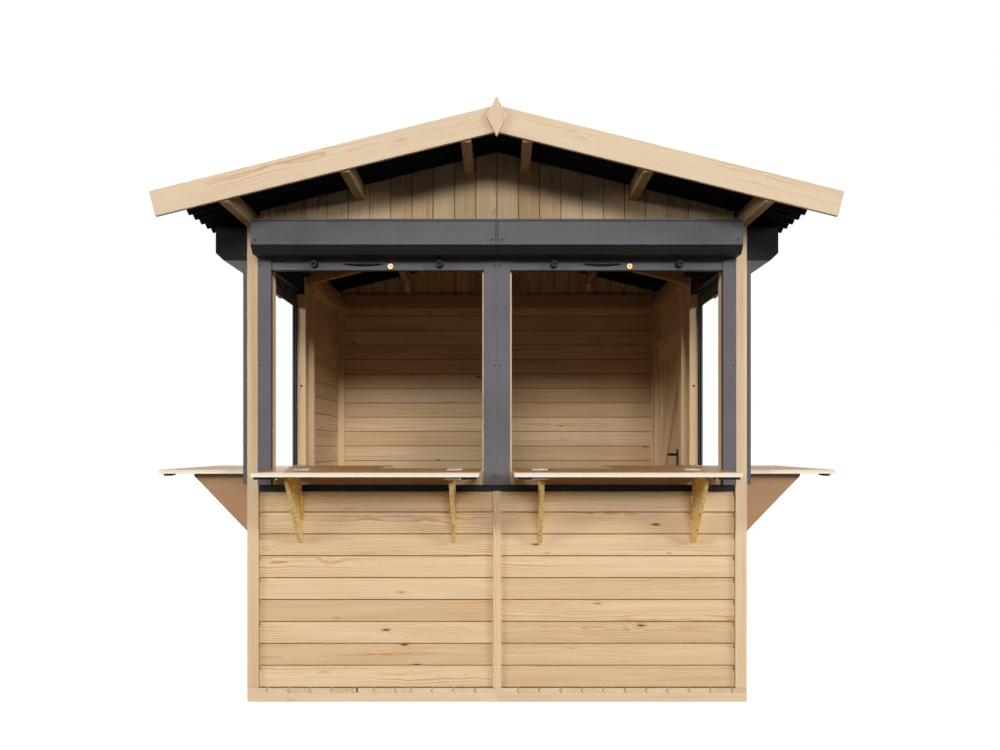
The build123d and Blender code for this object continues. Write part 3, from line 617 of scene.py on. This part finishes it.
def corner_laths():
    """Square laths between the corner posts and trims, which close the corners behind the boards' ends."""
    rng = random.Random("corner_laths")
    wall_low, wall_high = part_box("left_wall_rear")
    inner, outer = 0.0002 - wall_high.x, -wall_low.x - 0.0003
    whole = wood_mesh()
    for low, high in solids_of("corner_trims"):
        middle = (low + high) / 2
        side, end = math.copysign(1, middle.x), math.copysign(1, middle.y)
        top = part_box("back_wall" if end > 0 else "front_wall")[1].z
        lath = bmesh.new()
        cuboid(lath, (side * inner, end * inner, low.z), (side * outer, end * outer, top))
        mark_grain(lath, Z, rng)
        join(whole, lath)
    piece("corner_laths", whole, FRAME_PINE, "stall", "pine")


corner_laths()


# ---------------- gables
GABLE_BOARD, GABLE_GROOVE = 0.107, 0.0045
PURLIN_GAP = 0.002


def clip_to(bm, point, normal):
    """Cut away what lies on the far side of a plane and close the cut."""
    geometry = list(bm.verts) + list(bm.edges) + list(bm.faces)
    cut = bmesh.ops.bisect_plane(bm, geom=geometry, plane_co=point, plane_no=normal, clear_outer=True)
    edges = [e for e in cut["geom_cut"] if isinstance(e, bmesh.types.BMEdge)]
    if edges:
        bmesh.ops.holes_fill(bm, edges=edges, sides=0)


def clipped(bm, *planes):
    """Copy of a bmesh without what lies beyond the planes, as a list that is empty if nothing is left."""
    copy = bm.copy()
    for point, normal in planes:
        clip_to(copy, point, normal)
    if len(copy.verts) > 3:
        return [copy]
    copy.free()
    return []


def cut_round(part, low, high):
    """Split a board into the pieces beside and under a purlin with the limits low and high."""
    left, right, bottom = X * (low.x - PURLIN_GAP), X * (high.x + PURLIN_GAP), Z * (low.z - PURLIN_GAP)
    kept = clipped(part, (left, X)) + clipped(part, (right, -X))
    kept += clipped(part, (left, -X), (right, X), (bottom, Z))
    part.free()
    return kept


def gable_outline(breadth):
    """Section of an upright board, x outwards and y across it, with a joint like a wall board's and a V."""
    face, slant = BOARD_THICKNESS, BOARD_THICKNESS - GABLE_GROOVE / 2
    edge = [(0, JOINT_VEE), (JOINT_CHAMFER, INNER_GAP), (INNER_TONGUE, INNER_GAP), (INNER_TONGUE, 0),
            (OUTER_TONGUE, 0), (OUTER_TONGUE, INNER_GAP), (slant, INNER_GAP), (face, GABLE_GROOVE)]
    return edge + [(u, breadth - v) for u, v in reversed(edge)]


def gable_boards(node, outward):
    """Upright boards with V joints, cut to the roof slope and round the purlins."""
    low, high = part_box(node)
    whole = wood_mesh()
    lining = min(abs(low.y), abs(high.y))
    eave = max(corner.z for corner in corners(node) if abs(abs(corner.x) - high.x) < 1e-4)
    fall = (high.z - eave) / high.x
    purlins = [s for s in solids_of("purlins") if abs(s[0].x) < high.x - 0.1]
    count = math.ceil(high.x / GABLE_BOARD)
    for k in range(-count, count):
        left = max(k * GABLE_BOARD, low.x)
        right = min((k + 1) * GABLE_BOARD, high.x)
        if right - left < SLIVER:
            continue
        board = prism(gable_outline(right - left), X * left + outward * lining + Z * low.z, outward, X, Z,
                      high.z - low.z)
        side = 1 if left + right > 0 else -1
        clip_to(board, Z * high.z, Vector((fall * side, 0, 1)).normalized())
        pieces = [board]
        for purlin_low, purlin_high in purlins:
            if purlin_high.x + PURLIN_GAP >= left and purlin_low.x - PURLIN_GAP <= right:
                pieces = [cut for part in pieces for cut in cut_round(part, purlin_low, purlin_high)]
        for part in pieces:
            mark_grain(part, Z, random.Random(f"{node}{k}"), flat=outward)
            join(whole, part)
    darken_joints(whole, outward, lining)
    stand_in(f"{node}_boards", whole, (WALL, JOINT), node, "pine")


gable_boards("front_gable", -Y)
gable_boards("back_gable", Y)


# ---------------- floor
def floor_places(half):
    """Left and right edges of the floor boards, laid from the middle to half on both sides."""
    breadth, narrow_breadth, narrow_place = 0.107, 0.077, 4
    places = []
    for sign in (-1, 1):
        x, k = 0.0005, 0
        while x < half - SLIVER:
            edge = min(x + (narrow_breadth if sign < 0 and k == narrow_place else breadth), half)
            places.append(sorted((sign * x, sign * edge)))
            x, k = edge, k + 1
    return places


def floor_boards():
    """Tongued floor boards running front to back, their ends showing at the front."""
    low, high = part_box("floor_panels")
    rng = random.Random("floor")
    whole = wood_mesh()
    t = high.z - low.z
    vee, gap, nose, play = 0.0045, 0.0012, 0.0045, 0.0045
    # the joint seen from the end: a V above and below, and a tongue that points left
    near = [(vee, 0), (gap, vee), (gap, 0.30 * t), (-nose, 0.40 * t), (-nose, 0.60 * t), (gap, 0.70 * t),
            (gap, t - vee), (vee, t)]
    far = [(-vee, 0), (0, vee), (0, 0.28 * t), (-nose - play, 0.36 * t), (-nose - play, 0.64 * t),
           (0, 0.72 * t), (0, t - vee), (-vee, t)]
    square = [(0, 0), (0, t)]
    for left, right in floor_places(high.x):
        at_left = near if left > low.x + 0.001 and abs(left) > 0.001 else square
        at_right = far if right < high.x - 0.001 and abs(right) > 0.001 else square
        outline = at_left + [(right - left + u, v) for u, v in reversed(at_right)]
        trim = rng.uniform(0.0, 0.002), rng.uniform(0.0, 0.002)
        origin = Vector((left, low.y + trim[0], low.z))
        board = prism(outline, origin, X, Z, Y, high.y - low.y - sum(trim))
        mark_grain(board, Y, rng, flat=Z)
        join(whole, board)
    # the upper faces take the darker pine, a painted shade
    for face in whole.faces:
        face.material_index = 1 if face.normal.z > 0.9 else 0
    stand_in("floor_boards", whole, (FLOOR_PINE, SHADED_FLOOR_TOP), "floor_panels", "pine")


floor_boards()

# ---------------- timbers that keep their CAD shape
for node in ("floor_bearers", "corner_posts", "opening_posts", "wall_studs", "sill_rails", "corner_trims",
             "cover_battens", "door_frame", "door_ledges", "bracket_packers"):
    timber(node, FRAME_PINE, "pine")
# gable studs and purlins take the darker pine, a painted shade
timber("gable_studs", SHADED_BEAM_PINE, "pine")
timber("purlins", SHADED_BEAM_PINE, "pine", edge=0.003)


def behind_shutter(face):
    """True for the faces over an opening that look into the room or down, which are painted black as shade.
    """
    side_walls, rear_end = 1.16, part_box("opening_headers")[1].y - 0.0004
    middle = face.calc_center_median()
    inward = -X * middle.x if abs(middle.x) > side_walls else -Y * middle.y
    return middle.y < rear_end and (face.normal.dot(inward) > 0.5 or face.normal.z < -0.5)


# plates and headers: darker pine as painted shade, and black painted shade on their faces over the openings
# that look in or down
for node in ("wall_plates", "opening_headers"):
    timber(node, (SHADED_BEAM_PINE, HEADER_SHADE), "pine", shade_faces=behind_shutter)


def roof_fall():
    """Fall of the roof for each metre outwards, taken from the ridge cap."""
    cap = corners("ridge_cap")
    edge = max(corner.x for corner in cap)
    return (max(c.z for c in cap) - max(c.z for c in cap if c.x > edge - 1e-4)) / edge


ROOF_FALL = roof_fall()


def down_slope(centre):
    """Direction down the roof on the side where a piece lies."""
    return Vector((math.copysign(1, centre.x), 0, -ROOF_FALL))


# the rafters take the darker pine, a painted shade
timber("rafters", SHADED_BEAM_PINE, "pine", edge=0.003, direction=down_slope)
timber("barge_boards", BARGE, "barge_wood", edge=0.002, direction=down_slope, flat=-Y)
timber("finials", BARGE, "barge_wood", edge=0.002, direction=lambda c: Z, flat=-Y)


# ---------------- door
def door_boards():
    """Upright boards of the door leaf."""
    low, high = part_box("door_leaf")
    rng = random.Random("door")
    whole = wood_mesh()
    count, gap, groove = 8, 0.0003, 0.004
    breadth = (high.y - low.y) / count
    front = high.x - low.x
    outline = [(gap, 0), (breadth - gap, 0), (breadth - gap, front - groove), (breadth - groove, front),
               (groove, front), (gap, front - groove)]
    for k in range(count):
        board = prism(outline, low + Y * k * breadth, Y, X, Z, high.z - low.z)
        mark_grain(board, Z, rng, flat=X)
        join(whole, board)
    stand_in("door_boards", whole, WALL, "door_leaf", "pine")


door_boards()


# ---------------- counters and brackets
def faces_along(bm, flat):
    """Levels of the two broad faces of a board along flat, whatever stands proud of them."""
    area = {}
    for face in bm.faces:
        if abs(face.normal.dot(flat)) > 0.999:
            level = round(face.calc_center_median().dot(flat), 5)
            area[level] = area.get(level, 0.0) + face.calc_area()
    return sorted(sorted(area, key=area.get)[-2:])


def close_holes(bm):
    """Fill open edges and turn all faces outwards."""
    edges = [e for e in bm.edges if len(e.link_faces) == 1]
    bmesh.ops.holes_fill(bm, edges=edges, sides=0)
    bmesh.ops.recalc_face_normals(bm, faces=bm.faces)


def split_proud(bm, flat, level):
    """Take what stands proud of a board's face out of the board, and return it as a closed bmesh."""
    def proud(face):
        heights = [v.co.dot(flat) - level for v in face.verts]
        return min(heights) > -1e-5 and max(heights) > 1e-4

    leaf = bm.copy()
    bmesh.ops.delete(leaf, geom=[f for f in leaf.faces if not proud(f)], context="FACES")
    bmesh.ops.delete(bm, geom=[f for f in bm.faces if proud(f)], context="FACES")
    for part in (leaf, bm):
        close_holes(part)
    return leaf


def board_sheet(node, material, slot, flat=Z, along=None):
    """Rebuild a flat CAD board with softened edges and its height between its faces written on it.

    The hinge leaves that stand on the board become a piece of their own."""
    rng = random.Random(node)
    whole, leaves = wood_mesh(), bmesh.new()
    whole.verts.layers.float.new("rise")
    for part in islands(node):
        part.normal_update()
        under, over = faces_along(part, flat)
        low, high = limits(part)
        if high.dot(flat) > over + 1e-4:
            join(leaves, split_proud(part, flat, over))
        if low.dot(flat) < under - 1e-4:
            join(leaves, split_proud(part, -flat, -under))
        soften(part, 0.0012)
        mark_grain(part, along or longest(low, high), rng, flat)
        mark = part.verts.layers.float.get("rise") or part.verts.layers.float.new("rise")
        for v in part.verts:
            v[mark] = (v.co.dot(flat) - under) / (over - under)
        join(whole, part)
    stand_in(f"{node}_board", whole, material, node, slot)
    if leaves.verts:
        finish = YELLOW_ZINC if node.startswith("bracket") else ZINC
        piece(f"{node}_leaves", leaves, finish, BODY_OF[node], "zinc_steel")
    else:
        leaves.free()


for node in BODY_OF:
    if node.startswith("flap") or node.endswith("worktops"):
        board_sheet(node, COUNTER, "counter_board")
    elif node.startswith("bracket_front"):
        board_sheet(node, STRAND, "strand_board", flat=X, along=Z)
    elif node.startswith(("bracket_left", "bracket_right")):
        board_sheet(node, BROWN_BOARD, "brown_board", flat=Y, along=Z)


# ---------------- roof sheets
def corrugated(node):
    """Smooth wave sheet with its real thickness, in place of the faceted CAD one."""
    low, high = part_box(node)
    sign = 1 if high.x > 0.5 else -1
    down = Vector((sign, 0, -ROOF_FALL)).normalized()
    up = Vector((sign * ROOF_FALL, 0, 1)).normalized()
    ridge_end, eave_end = (pick(corner.dot(down) for corner in corners(node)) for pick in (min, max))
    under, over = (pick(corner.dot(up) for corner in corners(node)) for pick in (min, max))
    waves, steps, skin = 36, 18, 0.003
    rise = (over - under - skin) / 2
    pitch = (high.y - low.y) / waves
    bm = bmesh.new()
    rows = []
    for lift in (0.0, skin):
        for at in (ridge_end, eave_end):
            row = []
            for k in range(waves * steps + 1):
                y = low.y + k * pitch / steps
                height = under + lift + rise * (1 - math.cos(2 * math.pi * k / steps))
                row.append(bm.verts.new(down * at + up * height + Y * y))
            rows.append(row)
    a, b, c, d = rows
    last = waves * steps
    for k in range(last):
        for p, q in ((a, b), (d, c), (b, d), (c, a)):
            bm.faces.new((p[k], p[k + 1], q[k + 1], q[k]))
    bm.faces.new((a[0], b[0], d[0], c[0]))
    bm.faces.new((b[last], a[last], c[last], d[last]))
    bmesh.ops.recalc_face_normals(bm, faces=bm.faces)
    stand_in(f"{node}_waves", bm, BITUMEN, node, "bitumen_sheet", smooth=40)


corrugated("roof_sheet_left")
corrugated("roof_sheet_right")

# ---------------- nodes that show as they are
# the sill profiles' near-black coat is partly painted shade
FINISH = {"ridge_cap": BITUMEN, "guide_rails": ANTHRACITE, "shutter_bars": ANTHRACITE,
          "sill_profiles": SHADED_SILL, "shutter_stops": RUBBER, "shutter_grips": RUBBER, "shutter_locks": BRASS,
          "door_lock": BLACK_STEEL, "door_hinges": BLACK_STEEL, "door_hinge_plates": BLACK_STEEL,
          "counter_hinges": ZINC, "bracket_hinges": YELLOW_ZINC}
for node, material in FINISH.items():
    data = frame["nodes"][node].data
    data.materials.clear()
    data.materials.append(material)


# ---------------- shutters
BOXES = [node for node in BODY_OF if node.startswith("shutter_box")]


def shutter_box(node):
    """Box with rounded folds, a darker underside and chamfer as painted shade, and moulded black end caps.
    """
    along = X if "front" in node else Y
    (part,) = islands(node)
    soften(part, 0.0015)
    part.normal_update()
    for face in part.faces:
        if abs(face.normal.dot(along)) > 0.9:
            face.material_index = 2
        # faces that look down take the darker coat, a painted shade
        elif face.normal.z < -0.3:
            face.material_index = 1
    stand_in(f"{node}_shell", part, (ANTHRACITE, SHADED_BOX_UNDER, END_CAP), node, "anthracite")


for node in BOXES:
    shutter_box(node)


def disc(bm, centre, axis, radius, depth, top=None, sides=24):
    """Add a round head that stands on centre and grows along axis, to its top radius."""
    turn = axis.to_track_quat("Z", "Y").to_matrix().to_4x4()
    place = Matrix.Translation(centre + axis * depth / 2) @ turn
    bmesh.ops.create_cone(bm, cap_ends=True, segments=sides, radius1=radius, radius2=top or radius,
                          depth=depth, matrix=place)


def ring(bm, centre, axis, inner, outer, depth):
    """Add a flat ring that stands on centre and grows along axis."""
    sides = 24
    across = axis.orthogonal().normalized()
    up = axis.cross(across)
    turns = [2 * math.pi * k / sides for k in range(sides)]
    spokes = [across * math.cos(turn) + up * math.sin(turn) for turn in turns]
    loops = []
    for radius, lift in ((inner, 0), (outer, 0), (outer, depth), (inner, depth)):
        loops.append([bm.verts.new(centre + axis * lift + spoke * radius) for spoke in spokes])
    for i in range(4):
        a, b = loops[i], loops[(i + 1) % 4]
        for k in range(sides):
            j = (k + 1) % sides
            bm.faces.new((a[k], a[j], b[j], b[k]))


def fronts():
    """For each side with shutters: its direction to the right, its outward direction and its boxes."""
    for out in (-Y, X, -X):
        right = Z.cross(out)
        ends = []
        for node in BOXES:
            low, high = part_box(node)
            middle = (low + high) / 2
            if middle.dot(out) > 1.3:
                ends.append(sorted((low.dot(right), high.dot(right))))
        yield right, out, sorted(ends)


# dark seam strips paint the shade in the boxes' grooves; rims and lips in the lighter rubber are painted
# highlight; black keyhole discs are painted shade
DETAILS = {"shutter_screws": (BLACK_STEEL, "black_iron"), "shutter_seals": (RUBBER, "black_rubber"),
           "shutter_seam_shades": (END_CAP, "anthracite"), "stop_rims": (HIGHLIGHT_RUBBER, "black_rubber"),
           "grip_lips": (HIGHLIGHT_RUBBER, "black_rubber"), "keyhole_shades": (BLACK_STEEL, "black_iron")}


def shutter_lines(details, right, out, start, end, paired):
    """Screws, seals and dark seam strips, a painted shade, of one shutter, whose box lies between start and
    end along right.
    """
    rail_low, rail_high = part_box("guide_rails")
    box_low, box_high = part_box("shutter_box_front_left")
    bar_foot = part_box("shutter_bars")[0].z
    rail_face, box_face = -rail_low.y, -box_low.y
    rail_width, head, sunk, proud = 0.065, 0.0010, 0.001, 0.0003
    screws, seals, seams = (details[name] for name in ("shutter_screws", "shutter_seals", "shutter_seam_shades"))

    def at(along, outward, height):
        return right * along + out * outward + Z * height

    for edge, inward in ((start, 1), (end, -1)):
        for z in (rail_high.z - 0.036, rail_low.z + 0.595, rail_low.z + 0.045):
            disc(screws, at(edge + inward * 0.0125, rail_face, z), out, 0.0042, head, 0.0030)
        disc(screws, at(edge + inward * 0.0245, box_face, box_low.z + 0.0615), out, 0.0046, head, 0.0030)
    # the seal under the bar and those in the rails
    cuboid(seals, at(start + 0.067, rail_face - 0.019, bar_foot - 0.0055),
           at(end - 0.067, rail_face - 0.008, bar_foot + 0.0002))
    for edge, inward in ((start, 1), (end, -1)):
        if abs(edge) > 0.01:
            slot = edge + inward * rail_width
            cuboid(seals, at(slot, rail_face - 0.0272, rail_low.z + sunk),
                   at(slot + inward * 0.0025, rail_face - 0.022, bar_foot))
    # the lid's seam, and the line where an end cap begins beside the neighbour's, as dark strips of painted
    # shade
    lid = box_high.z - 0.0110
    cuboid(seams, at(start + sunk, box_face - sunk, lid - 0.0035), at(end - sunk, box_face + proud, lid))
    for edge in (start + 0.0045, end - 0.0045):
        if paired and abs(edge) < 0.1:
            cuboid(seams, at(edge - 0.0012, box_face - sunk, box_low.z + 0.0485),
                   at(edge + 0.0012, box_face + proud, lid))


def shutter_fittings(details):
    """Rims on the stops and lips on the grips in a lighter rubber as painted highlight, and black discs in
    the locks as the keyholes' painted shade.
    """
    for node in ("shutter_stops", "shutter_grips", "shutter_locks"):
        for low, high in solids_of(node):
            middle = (low + high) / 2
            out = -Y if abs(middle.y) > 1.25 else X * math.copysign(1, middle.x)
            face = middle + out * abs((high - low).dot(out)) / 2
            if node == "shutter_stops":
                ring(details["stop_rims"], face, out, 0.0105, 0.0145, 0.0004)
            elif node == "shutter_grips":
                reach = Z.cross(out) * 0.062
                cuboid(details["grip_lips"], face - reach + Z * 0.0015,
                       face + reach + out * 0.0006 + Z * 0.0062)
            else:
                # a black disc as the painted shade of the keyhole
                disc(details["keyhole_shades"], face, out, 0.0038, 0.0004)


def shutter_details():
    """Small parts of all shutters, one piece for each kind."""
    details = {name: bmesh.new() for name in DETAILS}
    for right, out, ends in fronts():
        for start, end in ends:
            shutter_lines(details, right, out, start, end, paired=len(ends) > 1)
    shutter_fittings(details)
    for name, (material, slot) in DETAILS.items():
        bmesh.ops.recalc_face_normals(details[name], faces=details[name].faces)
        piece(name, details[name], material, "stall", slot, smooth=40)


shutter_details()


# ---------------- slide bolts under the flaps
def slide_bolts(node, out):
    """Two slide bolts near the flap's outer edge: dark housings with rods and knobs."""
    low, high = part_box(node)
    right = Z.cross(out)
    start, end = sorted((low.dot(right), high.dot(right)))
    inset = 0.030
    edge_line = out * (max(low.dot(out), high.dot(out)) - inset) + Z * low.z
    # each bolt: the flap's end beside it, the direction inwards, its inset, its length, the rod beyond it
    near, far = (start, 1), (end, -1)
    if node == "flap_front_left":
        near, far = far, near
    kinds = ((0.0135, 0.075, 0.070), (0.0095, 0.110, 0.0))
    if "front" not in node:
        kinds = ((0.012, 0.110, 0.040),) * 2
    housings, rods = bmesh.new(), bmesh.new()
    for (edge, sign), (gap, length, rod) in zip((near, far), kinds):
        inward = right * sign
        at = edge_line + right * edge + inward * gap
        cuboid(housings, at - out * 0.014 - Z * 0.0025, at + out * 0.014 + inward * length)
        cuboid(housings, at - out * 0.008 - Z * 0.0115, at + out * 0.008 + inward * length)
        middle = at - Z * 0.0085
        if rod:
            disc(rods, middle + inward * (length - 0.004), inward, 0.0036, rod + 0.004, sides=16)
        disc(rods, middle - inward * 0.004, inward, 0.0045, 0.010, sides=16)
        disc(rods, middle + inward * (length * 0.96) - Z * 0.001, out, 0.0042, 0.020, 0.0052, sides=16)
    piece(f"{node}_bolt_housings", housings, BLACK_STEEL, BODY_OF[node], "black_iron")
    piece(f"{node}_bolt_rods", rods, BOLT_STEEL, BODY_OF[node], "zinc_steel", smooth=40)


for node, out in (("flap_front_left", -Y), ("flap_front_right", -Y), ("flap_left", -X), ("flap_right", X)):
    slide_bolts(node, out)


# ---------------- fixings of the frame
def post_fixings(nails, bolts):
    """Nails round the rafters' feet and a bolt lower down, on the front of both middle posts."""
    on_rafter = 0.0003
    for low, high in solids_of("opening_posts"):
        if abs(low.x) < 0.5:
            continue
        outward = X * math.copysign(1, low.x)
        corner = outward * min(abs(low.x), abs(high.x)) + Y * low.y + Z * high.z
        for across, down in ((0.008, 0.0705), (-0.030, 0.0615), (-0.068, 0.0525), (0.009, 0.1015),
                             (0.009, 0.1325), (0.020, 0.0795)):
            lift = Y * (on_rafter if across < 0 else 0.0)
            disc(nails, corner + outward * across - Z * down - lift, -Y, 0.0036, 0.0010, 0.0026, sides=12)
        disc(bolts, corner + outward * 0.027 - Z * 0.7245, -Y, 0.0070, 0.0015, 0.0058)


def stud_plates(nails, plates):
    """Nail plates at the top of the back gable's studs, under the purlins."""
    thickness = 0.0015
    for low, high in solids_of("gable_studs"):
        if low.y > 0:
            top = Vector(((low.x + high.x) / 2, low.y, high.z - 0.004))
            cuboid(plates, top - X * 0.018, top + X * 0.018 - Y * thickness - Z * 0.058)
            for across in (-0.010, 0.010):
                for down in (0.010, 0.029, 0.048):
                    place = top + X * across - Y * thickness - Z * down
                    disc(nails, place, -Y, 0.0034, 0.0012, 0.0024, sides=12)


def frame_fixings():
    """Nails, nail plates and bolts of the frame, one piece for each kind."""
    nails, bolts, plates = bmesh.new(), bmesh.new(), bmesh.new()
    post_fixings(nails, bolts)
    stud_plates(nails, plates)
    piece("nail_heads", nails, GALVANISED, "stall", "zinc_steel")
    piece("nail_plates", plates, GALVANISED, "stall", "zinc_steel")
    piece("post_bolts", bolts, BLACK_STEEL, "stall", "black_iron")


frame_fixings()


# ---------------- stage, light and camera
def camera_share(n):
    """1 for rays that show the backdrop itself: from the camera, and in mirrors and glass."""
    path = n.add("ShaderNodeLightPath").outputs
    mirrored = n.math("MAXIMUM", path["Is Glossy Ray"], path["Is Transmission Ray"])
    return n.math("MAXIMUM", path["Is Camera Ray"], mirrored)


def white_floor():
    """Pale floor: white to the camera but for the object's shadow, and a weak bounce."""
    material = bpy.data.materials.new("pale_floor")
    material.use_nodes = True
    n = Nodes(material.node_tree)
    n.tree.nodes.clear()
    weak = n.add("ShaderNodeBsdfDiffuse", (0.07, 0.07, 0.07, 1)).outputs[0]
    pale = n.add("ShaderNodeBsdfDiffuse", (0.8, 0.8, 0.8, 1)).outputs[0]
    glow = n.add("ShaderNodeEmission", Strength=0.87).outputs[0]
    shown = n.add("ShaderNodeAddShader", pale, glow).outputs[0]
    n.add("ShaderNodeOutputMaterial", n.add("ShaderNodeMixShader", camera_share(n), weak, shown).outputs[0])
    return material


def lamp(name, place, aim, width, height, power):
    """Rectangular soft light."""
    data = bpy.data.lights.new(name, "AREA")
    data.shape = "RECTANGLE"
    data.size, data.size_y = width, height
    data.energy = power
    obj = bpy.data.objects.new(name, data)
    obj.location = place
    obj.rotation_euler = (Vector(aim) - Vector(place)).to_track_quat("-Z", "Y").to_euler()
    COLLECTION.objects.link(obj)


def stage():
    """Plain pale floor, soft light from all around, and the camera."""
    scene = bpy.context.scene
    floor = bmesh.new()
    bmesh.ops.create_grid(floor, x_segments=1, y_segments=1, size=400.0)
    mesh = bpy.data.meshes.new("floor")
    floor.to_mesh(mesh)
    floor.free()
    ground = bpy.data.objects.new("ground", mesh)
    COLLECTION.objects.link(ground)
    mesh.materials.append(white_floor())

    world = bpy.data.worlds.new("studio")
    world.use_nodes = True
    scene.world = world
    n = Nodes(world.node_tree)
    background = n.tree.nodes["Background"]
    background.inputs["Color"].default_value = (1, 1, 1, 1)
    # the dome is brighter towards its top, and white to the camera
    height = n.add("ShaderNodeSeparateXYZ", n.add("ShaderNodeTexCoord").outputs["Generated"]).outputs["Z"]
    dome = n.remap(height, 0.2, 0.8, 0.0, 0.28, smooth=False)
    level = n.add("ShaderNodeMix", Factor=camera_share(n), A=dome, B=1.0)
    n.put(background.inputs["Strength"], level.outputs["Result"])

    lamp("key", (2.4, -31.0, 8.3), (0.0, -1.2, 1.4), 11.0, 4.4, 4150.0)
    lamp("right", (24.6, -17.2, 8.2), (0.0, 0.0, 1.4), 9.0, 4.4, 3850.0)
    lamp("left", (-24.6, -17.2, 8.2), (0.0, 0.0, 1.4), 9.0, 4.4, 3450.0)
    lamp("back", (-2.0, 31.0, 8.3), (0.0, 1.2, 1.4), 11.0, 4.4, 3300.0)

    lens = bpy.data.cameras.new("camera")
    lens.sensor_width = 36.0
    lens.lens = 33.9
    lens.shift_y = 0.071
    camera = bpy.data.objects.new("camera", lens)
    camera.location = (0.015, -5.96, 1.28)
    camera.rotation_euler = (math.radians(90), 0, 0)
    COLLECTION.objects.link(camera)
    scene.camera = camera
    scene.view_settings.view_transform = "Standard"


stage()
